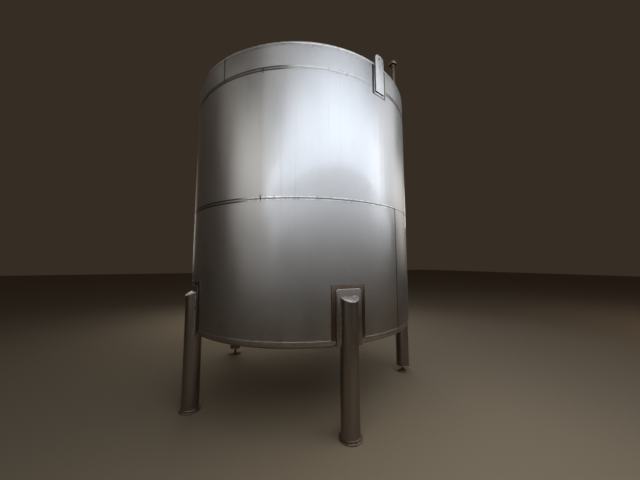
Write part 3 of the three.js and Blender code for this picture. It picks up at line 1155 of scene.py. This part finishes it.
    def upright_beads(self) -> None:
        """Lays the upright beads between the sheets of each course, ground flush on the middle one."""
        crowns = {Course.LOWER: 1.1, Course.MIDDLE: 0.35, Course.TOP: 0.9}
        for course in Course:
            finish = self.finishes.flush_bead if course is Course.MIDDLE else self.finishes.dark_bead
            form = Form()
            for index in range(SHEETS):
                azimuth = course.seam + index * 360 / SHEETS
                count = round((course.top - course.bottom) / self.upright_step)
                path = []
                for height in spread(course.bottom, course.top, count):
                    base = self.skin_radius(azimuth, height) - 0.2
                    path.append((polar(azimuth, base, height), outward(azimuth)))
                form.bead(path, self.upright_width, crowns[course])
            form.piece(f"{course.label}_upright_beads", finish)
        self.crossings()

    def crossings(self) -> None:
        """Lays the short stretch of bead where an upright seam runs into a level weld."""
        form = Form()
        for course in Course:
            for index in range(SHEETS):
                azimuth = course.seam + index * 360 / SHEETS
                for middle in (course.bottom, course.top):
                    low, high = middle - self.crossing_reach, middle + self.crossing_reach
                    ends = (polar(azimuth, SKIN_RADIUS - 0.1, height) for height in (low, high))
                    form.bead(straight_path(*ends, outward(azimuth), 10), *self.crossing_bead)
        form.piece("crossing_beads", self.finishes.dark_bead)

    def end_seams(self) -> None:
        """Lays three radial beads on the roof and three on the bottom head."""
        roof, bottom = Form(), Form()
        up, down = Vector((0, 0, 1)), Vector((0, 0, -1))
        for azimuth in self.end_seams_at:
            above = [(polar(azimuth, radius, roof_line(radius)), up) for radius in spread(240.0, 1380.0, 149)]
            roof.bead(above, *self.end_seam)
            under = []
            for radius in spread(60.0, 1340.0, 149):
                under.append((polar(azimuth, radius, knuckle_line(radius, -self.bottom_inset)), down))
            bottom.bead(under, *self.end_seam)
        roof.piece("roof_seams", self.finishes.bead)
        bottom.piece("bottom_head_seams", self.finishes.bead)

    def build(self) -> None:
        """Builds the whole shell."""
        self.sheets()
        self.roof()
        self.bottom()
        self.girth_beads()
        self.upright_beads()
        self.end_seams()


# Legs


@dataclass(frozen=True)
class PlateEdge:
    """The edge of a rolled plate that a fillet follows: up one side, over the top and down the other side.

    Args:
        half_angle: Half of the plate's width in degrees.
        radius: Distance of its back from the axis in millimetres.
        bottom: Height of the lower end.
        top: Height of its upper edge.
        corner: Radius of its upper corners.
        side_points: How many points lie on each side, below the corner.
        corner_steps: How many steps go round a corner.
    """

    half_angle: float
    radius: float
    bottom: float
    top: float
    corner: float = 3.0
    side_points: int = 60
    corner_steps: int = 8

    def path(self) -> Path:
        """Walks along the edge.

        Returns:
            The path.
        """
        half = math.radians(self.half_angle) * self.radius
        flat = []  # the distance along the plate, the height and which way the edge faces
        for height in spread(self.bottom, self.top - self.corner, self.side_points)[:-1]:
            flat.append((-half, height, -1.0, 0.0))
        for degrees in spread(180.0, 90.0, self.corner_steps):
            across, rise = math.cos(math.radians(degrees)), math.sin(math.radians(degrees))
            along = self.corner - half + self.corner * across
            flat.append((along, self.top - self.corner + self.corner * rise, across, rise))
        mirrored = [(-along, height, -across, rise) for along, height, across, rise in reversed(flat)]
        for along in spread(self.corner - half, half - self.corner, 40)[1:-1]:
            flat.append((along, self.top, 0.0, 1.0))
        path = []
        for along, height, across, rise in flat + mirrored:
            azimuth = math.degrees(along / self.radius)
            up = polar(azimuth, 1.0, 0.0) + polar(azimuth + 90, across, 0.0) + Vector((0, 0, rise))
            path.append((polar(azimuth, self.radius, height), up.normalized()))
        return path

    def sides(self, width: float, height: float) -> Form:
        """Lays a bead up each side."""
        path, count = self.path(), self.side_points
        return Form().bead(path[:count], width, height).bead(path[-count:], width, height)

    def crest(self, width: float, height: float) -> Form:
        """Lays a bead over the top and both corners."""
        first = self.side_points - 2
        return Form().bead(self.path()[first:-first], width, height)


@dataclass
class LegSet:
    """The five legs with their pads, saddles, caps, feet, nuts and beads.

    Args:
        finishes: The finishes that they wear.
    """

    finishes: Finishes
    pipe: float = 84.15  # radius of the leg's pipe
    cut: float = 1411.2  # distance of the coped face from the tank's axis
    cap_level: float = 1192.0
    cap_slope: float = math.tan(math.radians(27.5))
    cap_drop: float = 5.64  # the cap plate's thickness measured straight down
    cap_half_width: float = 86.0
    saddle_bottom: float = 755.0
    pad_edge: PlateEdge = PlateEdge(6.85, 1400.2, 822.0, 1291.5)
    saddle_edge: PlateEdge = PlateEdge(5.15, 1404.8, 806.0, 1254.5, 26.0)
    toe_edge: PlateEdge = PlateEdge(5.4, 1404.8, 806.0, 1263.0, 31.0)  # a painted shadow line just above the crest
    sink: float = 0.6  # how far the beads beside the pipe lie inside their joints
    seat: float = 0.4  # how far the beads above the cap and below the bottom head do
    side_end: float = 12.0  # how far below the cap the beads up the pipe end
    pad_bead: Pair = (7.0, 3.0)  # width and height, here and below
    saddle_bead: Pair = (6.0, 2.4)
    crest_bead: Pair = (8.5, 4.6)
    toe_bead: Pair = (12.0, 0.75)
    pipe_bead: Pair = (9.0, 4.0)
    cap_bead: Pair = (7.0, 3.2)
    cap_top_bead: Pair = (8.0, 3.6)
    end_ring: Pair = (9.0, 4.2)
    spindle: Pair = (15.2, 16.6)  # radius in and on the thread
    pitch: float = 3.5
    hub_top: float = 22.2
    nut_height: float = 15.0
    nut_radius: float = 26.5
    nut_bore: float = 15.6
    nut_chamfer: Pair = (2.5, 1.6)  # across and up

    def pad_and_saddle_beads(self, label: str, azimuth: float) -> None:
        """Lays the fillets round the pad and the saddle, and a black bead above the saddle's crest as painted
        shadow.

        Args:
            label: The leg's name.
            azimuth: Where it stands, in degrees.
        """
        pad = Form().bead(self.pad_edge.path(), *self.pad_bead)
        pad.piece(f"{label}_pad_fillet", self.finishes.browned_bead, azimuth)
        sides = self.saddle_edge.sides(*self.saddle_bead)
        sides.piece(f"{label}_saddle_fillet", self.finishes.dark_bead, azimuth)
        # the crest bead's near-white colour is partly a painted highlight along the saddle's top
        crest = self.saddle_edge.crest(*self.crest_bead)
        crest.piece(f"{label}_saddle_crest", self.finishes.bright_bead, azimuth)
        # painted shadow: a black bead laid just above the crest
        toe = self.toe_edge.crest(*self.toe_bead)
        toe.piece(f"{label}_saddle_toe", self.finishes.black_bead, azimuth)

    def pipe_beads(self, label: str, azimuth: float) -> None:
        """Lays the beads between pipe, saddle, cap and bottom head.

        Args:
            label: The leg's name.
            azimuth: Where it stands, in degrees.
        """
        form = Form()
        half = math.sqrt(self.pipe**2 - (self.cut - RADIUS) ** 2)
        low, high = self.saddle_bottom, self.cap_level - self.side_end
        for side in (-1, 1):
            up = Vector((side, -0.8, 0)).normalized()
            ends = ((side * half, self.sink - self.cut, height) for height in (low, high))
            form.bead(straight_path(*ends, up, 60), *self.pipe_bead)
        under = []
        for angle in spread(-82.0, 82.0, 40):
            point = polar(angle, self.pipe, 0.0) - Vector((0, RADIUS, 0))
            point.z = self.cap_level - self.cap_slope * (-point.y - self.cut) - self.cap_drop - self.sink
            under.append((point, outward(angle, -0.9)))
        form.bead(under, *self.cap_bead)
        ends = ((side * self.cap_half_width, self.seat - self.cut, self.cap_level) for side in (-1, 1))
        form.bead(straight_path(*ends, (0, -0.6, 0.8), 30), *self.cap_top_bead)
        head = []
        for angle in spread(-88.0, 88.0, 60):
            point = polar(180 - angle, self.pipe, 0.0) - Vector((0, RADIUS, 0))
            point.z = knuckle_line(min(math.hypot(point.x, point.y), SKIN_RADIUS)) - self.seat
            head.append((point, outward(180 - angle, -0.9)))
        form.bead(head, *self.pipe_bead)
        form.piece(f"{label}_pipe_beads", self.finishes.bead, azimuth)

    def spindle_fittings(self, label: str, azimuth: float, pipe_end: float) -> None:
        """Adds the thread of a spindle that shows, and its lock nut.

        Args:
            label: The leg's name.
            azimuth: Where it stands, in degrees.
            pipe_end: Height of the pipe's lower end in millimetres.
        """
        centre = Vector((0, -RADIUS, 0))
        top = pipe_end - 0.4
        low = top - self.nut_height
        turns = int((low + 1.0 - self.hub_top) / self.pitch * 2)
        outline = [(self.spindle[i % 2], self.hub_top + i * self.pitch / 2) for i in range(turns + 1)]
        form = Form().turned(outline, 32, centre)
        thread = form.piece(f"{label}_spindle_thread", self.finishes.foot, azimuth, "turned_steel")
        split_edges(thread, 60)
        flat, (across, up) = self.nut_radius, self.nut_chamfer
        outline = [(self.nut_bore, low), (flat - across, low), (flat, low + up)]
        outline += [(flat, top - up), (flat - across, top), (self.nut_bore, top)]
        form = Form().turned(outline, 6, centre)
        nut = form.piece(f"{label}_lock_nut", self.finishes.foot, azimuth, "turned_steel")
        split_edges(nut, 25)

    def end_bead(self, label: str, azimuth: float, pipe_end: float) -> None:
        """Lays the ring bead that joins the pipe and its end plate.

        Args:
            label: The leg's name.
            azimuth: Where it stands, in degrees.
            pipe_end: Height of the pipe's lower end in millimetres.
        """
        ring = ring_path(self.pipe - 0.8, pipe_end + self.sink, -0.3, 90, Vector((0, -RADIUS, 0)))
        form = Form().bead(ring, *self.end_ring, loop=True)
        form.piece(f"{label}_end_bead", self.finishes.straw_bead, azimuth)

    def build(self) -> None:
        """Builds and dresses every leg."""
        for leg in Leg:
            name, azimuth, pipe_end = leg.value
            label = f"{name}_leg"
            dress(f"{label}_pad", self.finishes.pad, 0.8)
            dress(f"{label}_saddle", self.finishes.saddle, 1.2)
            dress(f"{label}_pipe", self.finishes.pipe)
            dress(f"{label}_cap", self.finishes.cap, 1.0)
            dress(f"{label}_foot", self.finishes.foot, 1.0)
            self.pad_and_saddle_beads(label, azimuth)
            self.pipe_beads(label, azimuth)
            self.end_bead(label, azimuth, pipe_end)
            if pipe_end > self.pipe / 2:
                self.spindle_fittings(label, azimuth, pipe_end)


# Lugs and roof fittings


@dataclass
class LugSet:
    """The two lifting lugs with their pads and fillets.

    Args:
        finishes: The finishes that they wear.
    """

    finishes: Finishes
    half_width: float = 65.0
    back: float = 1404.9  # distance of the lug's back from the tank's axis
    bottom: float = 3258.0
    pad_back: float = 1400.2
    pad_half_angle: float = 3.95
    pad_bottom: float = 3230.0
    pad_top: float = 3551.0
    side_steps: int = 40
    sink: float = 0.6  # how far the beads up the lug lie inside their joints
    seat: float = 0.4  # how far the bead at its foot does
    pad_side_bead: Pair = (11.0, 4.0)  # width and height, here and below
    pad_foot_bead: Pair = (6.0, 1.4)
    side_bead: Pair = (9.0, 4.2)
    foot_bead: Pair = (15.0, 6.0)

    def build(self) -> None:
        """Builds and dresses both lugs."""
        for lug in Lug:
            label, azimuth = lug.value
            dress(f"{label}_lug_pad", self.finishes.lug_pad, 0.8)
            dress(f"{label}_lifting_lug", self.finishes.lug, 1.5)
            path, count = self.pad_path(), self.side_steps
            sides = Form()
            for stretch in (path[: count + 1], path[-count - 1 :]):
                sides.bead(stretch, *self.pad_side_bead)
            # black pad fillets: heat-tinted welds, partly painted shade beside the lug
            sides.piece(f"{label}_lug_pad_fillet", self.finishes.black_bead, azimuth)
            under = Form().bead(path[count:-count], *self.pad_foot_bead)
            under.piece(f"{label}_lug_pad_foot_fillet", self.finishes.flush_bead, azimuth)
            form = Form()
            for side in (-1, 1):
                up = Vector((side, -0.9, 0)).normalized()
                across, along = side * self.half_width, self.sink - self.back
                ends = ((across, along, height) for height in (self.bottom, self.pad_top))
                form.bead(straight_path(*ends, up, self.side_steps), *self.side_bead)
            # the thick black bead under the lug's foot is a painted shadow
            ends = ((side * self.half_width, self.seat - self.back, self.bottom) for side in (-1, 1))
            form.bead(straight_path(*ends, (0, -0.7, -0.7), 20), *self.foot_bead)
            form.piece(f"{label}_lug_fillet", self.finishes.black_bead, azimuth)

    def pad_path(self) -> Path:
        """Walks down one side of the pad, along its foot and up the other side.

        Returns:
            The path.
        """
        half, low, high = self.pad_half_angle, self.pad_bottom, self.pad_top
        first = (polar(-half, 1, 0) + polar(-half - 90, 0.9, 0)).normalized()
        last = (polar(half, 1, 0) + polar(half + 90, 0.9, 0)).normalized()
        levels = spread(high, low, self.side_steps)[:-1]
        path = [(polar(-half, self.pad_back, height), first) for height in levels]
        path += [(polar(a, self.pad_back, low), outward(a, -0.9)) for a in spread(-half, half, 30)]
        levels = spread(low, high, self.side_steps)[1:]
        return path + [(polar(half, self.pad_back, height), last) for height in levels]


@dataclass
class RoofFittings:
    """Manway and vent on the roof, and the outlet under the bottom head.

    Args:
        finishes: The finishes that they wear.
    """

    finishes: Finishes
    manway_top: float = 3880.0
    bolts: int = 12
    bolt_circle: float = 234.0
    lid_top: float = 4.4  # above the neck's rim
    rim_under: float = 8.2  # below it
    # the outlines below have their heights from the rim or from the faces that they lie on
    gasket: Outline = ((226.0, -1.0), (240.6, -1.0), (241.2, 0.0), (240.6, 0.6))
    head: Outline = ((9.4, 0.0), (9.4, 7.0), (8.2, 8.0), (0.01, 8.0))
    washer: Outline = ((5.0, 0.0), (12.0, 0.0), (12.0, 1.6), (5.0, 1.6))
    nut: Outline = ((5.0, -9.0), (9.4, -9.0), (9.4, 0.0), (5.0, 0.0))
    neck_radius: float = 225.4
    neck_foot: float = 3747.6
    vent_azimuth: float = 34.9
    vent_circle: float = 1358.0
    vent_radius: float = 24.3
    outlet_radius: float = 38.2
    neck_bead: Pair = (9.0, 4.0)  # width and height, here and below
    pipe_bead: Pair = (7.0, 3.0)

    def manway(self) -> None:
        """Dresses the manway and adds its gasket, bolts and beads."""
        dress("manway_neck", self.finishes.saddle, 1.0)
        dress("manway_lid", self.finishes.ends)
        rim = [(radius, self.manway_top + rise) for radius, rise in self.gasket]
        Form().turned(rim, 96).piece("manway_gasket_edge", self.finishes.gasket, slot="plate")
        heads = Form()
        top, low = self.manway_top + self.lid_top, self.manway_top - self.rim_under
        for azimuth in azimuths(self.bolts):
            centre = polar(azimuth, self.bolt_circle, 0)
            for outline, level, sides in ((self.head, top, 6), (self.washer, top, 24), (self.nut, low, 6)):
                heads.turned([(radius, level + rise) for radius, rise in outline], sides, centre)
        split_edges(heads.piece("manway_bolts", self.finishes.turned, slot="turned_steel"), 25)
        ring = ring_path(self.neck_radius, self.neck_foot, 0.8, 120)
        Form().bead(ring, *self.neck_bead, loop=True).piece("manway_neck_bead", self.finishes.bead)

    def vent(self) -> None:
        """Dresses the vent and adds the bead at its foot."""
        dress("vent_pipe", self.finishes.vent_pipe)
        dress("vent_cap", self.finishes.dull_turned, 0.8)
        path = ring_path(self.vent_radius, 0.0, 0.8, 48, Vector((0, -self.vent_circle, 0)))
        for point, _ in path:
            point.z = roof_line(math.hypot(point.x, point.y))
        form = Form().bead(path, *self.pipe_bead, loop=True)
        form.piece("vent_bead", self.finishes.bead, self.vent_azimuth)

    def outlet(self) -> None:
        """Dresses the outlet and adds its bead."""
        dress("outlet_nozzle", self.finishes.turned, 0.5)
        ring = ring_path(self.outlet_radius, knuckle_line(self.outlet_radius, 0.2), -0.8, 48)
        Form().bead(ring, *self.pipe_bead, loop=True).piece("outlet_bead", self.finishes.bead)

    def build(self) -> None:
        """Builds every fitting."""
        self.manway()
        self.vent()
        self.outlet()


# Studio


class Lit(Enum):
    """What a soft panel lights: all of the picture, the steel alone or the floor alone."""

    ALL = "all"
    STEEL = "steel"
    FLOOR = "floor"


@dataclass(frozen=True)
class Softbox:
    """One soft panel that faces the tank, upright or leaning over.

    Args:
        name: The light's name.
        azimuth: Direction from the tank that it hangs in, in degrees.
        reach: Distance of its plane from the tank's axis in metres.
        left: How far its left end lies from the middle, seen from the tank's front, in metres.
        right: How far its right end lies from the middle in metres.
        bottom: Height of its lower edge in metres.
        top: Height of its upper edge in metres.
        radiance: Its brightness, where 1 shows as white.
        colour: Its colour as sRGB hex.
        fade: How far its brightness fades in from the left, right, lower and upper edge, in metres.
        tilt: How far it leans over about its middle, in degrees, where 90 faces the floor.
        lit: What it lights.
    """

    name: str
    azimuth: float
    reach: float
    left: float
    right: float
    bottom: float
    top: float
    radiance: float
    colour: str
    fade: tuple[float, float, float, float] = (0.0, 0.0, 0.0, 0.0)
    tilt: float = 0.0
    lit: Lit = Lit.STEEL


CRISP = (0.0, 0.0, 0.0, 0.0)
EVEN_FADE = (1.5, 1.5, 1.5, 1.5)

# Panels that overlap hang at slightly different distances, because on one plane only one of them would count.
SOFTBOXES = (
    Softbox("front_panel", 12.8, 6.6, -19.0, 11.8, 4.5, 10.0, 2.03, "#EBF3FF", (19.0, 8.3, 0.0, 4.2)),
    Softbox("front_panel_edge", 12.8, 6.4, -13.6, -4.6, 4.9, 6.7, 0.8, "#F2F6FF", (1.0, 4.5, 0.3, 0.9)),
    Softbox("front_panel_foot", 12.8, 6.55, -7.1, 13.7, 0.15, 3.0, 0.17, "#F4EFE8", (3.2, 3.4, 1.7, 0.9)),
    Softbox("front_panel_below", 12.8, 6.6, -14.0, 16.6, 1.6, 4.5, 0.87, "#EFF3F9", (6.0, 2.0, 2.25, 0.0)),
    Softbox("left_panel", -58.2, 6.6, -4.4, 2.9, 1.0, 7.55, 0.86, "#F8F6F2", (3.8, 2.2, 3.5, 3.0)),
    Softbox("left_panel_foot", -58.2, 6.55, -2.6, 4.2, 0.2, 2.6, 0.17, "#F4EFE8", (2.0, 2.0, 1.2, 1.0)),
    Softbox("upper_left_panel", -39.8, 6.6, -3.0, 4.8, 2.9, 9.9, 0.42, "#F6F6F6", (3.0, 3.6, 4.3, 0.0)),
    Softbox("far_left_panel", -85.5, 6.6, -2.4, 3.3, 3.5, 8.0, 0.15, "#F8F0E4", (2.0, 2.4, 2.5, 0.6)),
    Softbox("right_panel", 68.5, 6.6, -3.0, 3.6, 2.46, 9.4, 1.06, "#F4F6FA", (2.1, 2.3, 1.5, 3.5)),
    Softbox("right_panel_rear", 99.0, 6.6, -2.6, 2.3, 0.6, 5.64, 0.96, "#FAF6EE", (2.2, 2.6, 3.2, 1.5)),
    Softbox("rear_right_panel", 127.3, 6.6, -2.1, 3.6, 2.76, 4.56, 2.2, "#FFF8EE", (1.8, 1.8, 0.0, 0.8)),
    Softbox("rear_left_panel", -166.0, 7.0, -2.6, 2.6, 1.2, 4.0, 0.36, "#F2E4CE", (1.0, 1.0, 0.6, 1.2)),
    Softbox("roof_panel", 180.0, 8.0, -6.0, 3.0, 7.0, 13.0, 0.6, "#FBFAF6", (0.0, 3.0, 0.0, 0.0), 90.0),
    Softbox("roof_panel_left", 230.0, 5.8, -3.5, 3.5, 7.4, 12.6, 0.5, "#FBFAF6", EVEN_FADE, 90.0),
    Softbox("overhead_panel", 12.8, 3.55, -2.0, 4.0, 6.45, 12.55, 0.76, "#FBFAF6", CRISP, 90.0, Lit.ALL),
    Softbox("rear_panel", 180.0, 7.4, -5.0, 5.0, 0.8, 6.4, 0.4, "#FFF6EA", (2.0, 2.0, 1.2, 2.4)),
    Softbox("left_floor_panel", -53.0, 6.2, -2.4, 2.6, 0.4, 4.4, 0.42, "#FBF3E6", EVEN_FADE, 90.0, Lit.FLOOR),
    Softbox("right_floor_panel", 64.0, 9.4, -3.0, 4.0, 0.4, 6.4, 0.5, "#F8CFA2", EVEN_FADE, 90.0, Lit.FLOOR),
    Softbox("floor_panel", 8.0, 2.4, -1.8, 1.8, 1.4, 2.6, 1.5, "#FBF3E6", CRISP, 90.0, Lit.FLOOR),
    Softbox("rear_floor_panel", 170.0, 3.6, -2.0, 2.4, 0.9, 3.3, 1.0, "#FBEFD8", CRISP, 62.0, Lit.FLOOR),
)


@dataclass
class Studio:
    """Plain pale floor, soft light and the camera at the photograph's viewing angle."""

    focal_length: float = 14.16
    sensor_width: float = 36.0
    view_range: Pair = (0.05, 200.0)  # nearest and farthest that the camera sees, in metres
    distance: float = 3604.3
    eye_height: float = 1487.2
    station: float = -17.1  # azimuth of the camera
    heading: float = 20.98
    pitch: float = 5.23
    roll: float = -0.13
    surround: str = "#362D24"
    floor_colour: str = "#9A907F"
    floor_roughness: float = 0.75
    floor_reach: float = 40.0  # metres from its middle to each edge

    def camera(self) -> None:
        """Stands the camera where the photograph was taken from."""
        data = bpy.data.cameras.new("camera")
        data.sensor_width = self.sensor_width
        data.lens = self.focal_length
        data.clip_start, data.clip_end = self.view_range
        camera = bpy.data.objects.new("camera", data)
        bpy.context.scene.collection.objects.link(camera)
        heading, pitch, roll = (math.radians(a) for a in (self.heading, self.pitch, self.roll))
        level = Vector((math.sin(heading), math.cos(heading), 0)) * math.cos(pitch)
        ahead = level + Vector((0, 0, math.sin(pitch)))
        right = Vector((math.cos(heading), -math.sin(heading), 0))
        above = right.cross(ahead)
        right, above = (
            right * math.cos(roll) + above * math.sin(roll),
            above * math.cos(roll) - right * math.sin(roll),
        )
        turn = Matrix((right, above, -ahead)).transposed().to_4x4()
        eye = TANK_AXIS + polar(self.station, self.distance, self.eye_height) * MM
        camera.matrix_world = Matrix.Translation(eye) @ turn
        bpy.context.scene.camera = camera

    def floor(self) -> None:
        """Lays the plain floor."""
        mesh = bpy.data.meshes.new("floor")
        reach = self.floor_reach
        corners = [(-reach, -reach, 0), (reach, -reach, 0), (reach, reach, 0), (-reach, reach, 0)]
        mesh.from_pydata(corners, [], [(0, 1, 2, 3)])
        floor = bpy.data.objects.new("floor", mesh)
        bpy.context.scene.collection.objects.link(floor)
        shader = Shader("plain_pale_floor")
        finish = shader.finish(Base_Color=linear(self.floor_colour), Roughness=self.floor_roughness)
        mesh.materials.append(finish)

    def softbox(self, box: Softbox) -> None:
        """Hangs one soft panel.

        Args:
            box: Its place, size and brightness.
        """
        width, height = box.right - box.left, box.top - box.bottom
        data = bpy.data.lights.new(box.name, "AREA")
        data.shape = "RECTANGLE"
        data.size, data.size_y = width, height
        data.energy = box.radiance * math.pi * width * height
        data.color = linear(box.colour)[:3]
        light = bpy.data.objects.new(box.name, data)
        bpy.context.scene.collection.objects.link(light)
        away, sideways = polar(box.azimuth, 1.0, 0.0), polar(box.azimuth + 90, 1.0, 0.0)
        middle = away * box.reach + sideways * (box.left + box.right) / 2
        middle.z = (box.bottom + box.top) / 2
        tilt = math.radians(box.tilt)
        back = away * math.cos(tilt) + Vector((0, 0, math.sin(tilt)))
        turn = Matrix((sideways, back.cross(sideways), back)).transposed().to_4x4()
        light.matrix_world = Matrix.Translation(TANK_AXIS + middle) @ turn
        light.visible_camera = False
        light.visible_diffuse = box.lit is not Lit.STEEL
        light.visible_glossy = box.lit is not Lit.FLOOR
        self.fade_edges(data, box)

    def fade_edges(self, data: bpy.types.AreaLight, box: Softbox) -> None:
        """Fades a panel's brightness towards its edges.

        Args:
            data: The panel's light.
            box: Its size and fades.
        """
        data.use_nodes = True
        panel = NodeWork(data.node_tree)
        place = panel.add(Step.AXES, panel.add(Step.PANEL_PLACE)).node.outputs
        width, height = box.right - box.left, box.top - box.bottom
        left, right, low, high = box.fade
        edges = (
            ("X", 0.0, left / width),
            ("X", 1.0, -right / width),
            ("Y", 0.0, low / height),
            ("Y", 1.0, -high / height),
        )
        product: object = 1.0
        for axis, start, reach in edges:
            if reach:
                ramp = panel.add(Step.RAMP, place[axis], start, start + reach)
                product = panel.add(Step.MULTIPLY, ramp, product)
        if product != 1.0:
            panel.tree.links.new(product, panel.tree.nodes["Emission"].inputs["Strength"])

    def lights(self) -> None:
        """Hangs the soft panels and sets the plain surround."""
        for box in SOFTBOXES:
            self.softbox(box)
        world = bpy.data.worlds.new("surround")
        bpy.context.scene.world = world
        world.use_nodes = True
        background = world.node_tree.nodes["Background"]
        background.inputs["Color"].default_value = linear(self.surround)
        background.inputs["Strength"].default_value = 1.0
        bpy.context.scene.view_settings.view_transform = "Standard"

    def build(self) -> None:
        """Builds floor, lights and camera."""
        self.camera()
        self.floor()
        self.lights()


def main() -> None:
    """Builds the whole picture."""
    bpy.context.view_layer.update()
    Studio().build()
    finishes = Finishes.make()
    steps: tuple[tuple[str, Callable[[], None]], ...] = (
        ("shell", Shell(finishes).build),
        ("legs", LegSet(finishes).build),
        ("lugs", LugSet(finishes).build),
        ("roof fittings", RoofFittings(finishes).build),
    )
    for label, build in steps:
        build()
        log.info("built: %s", label)


if __name__ == "__main__":
    main()
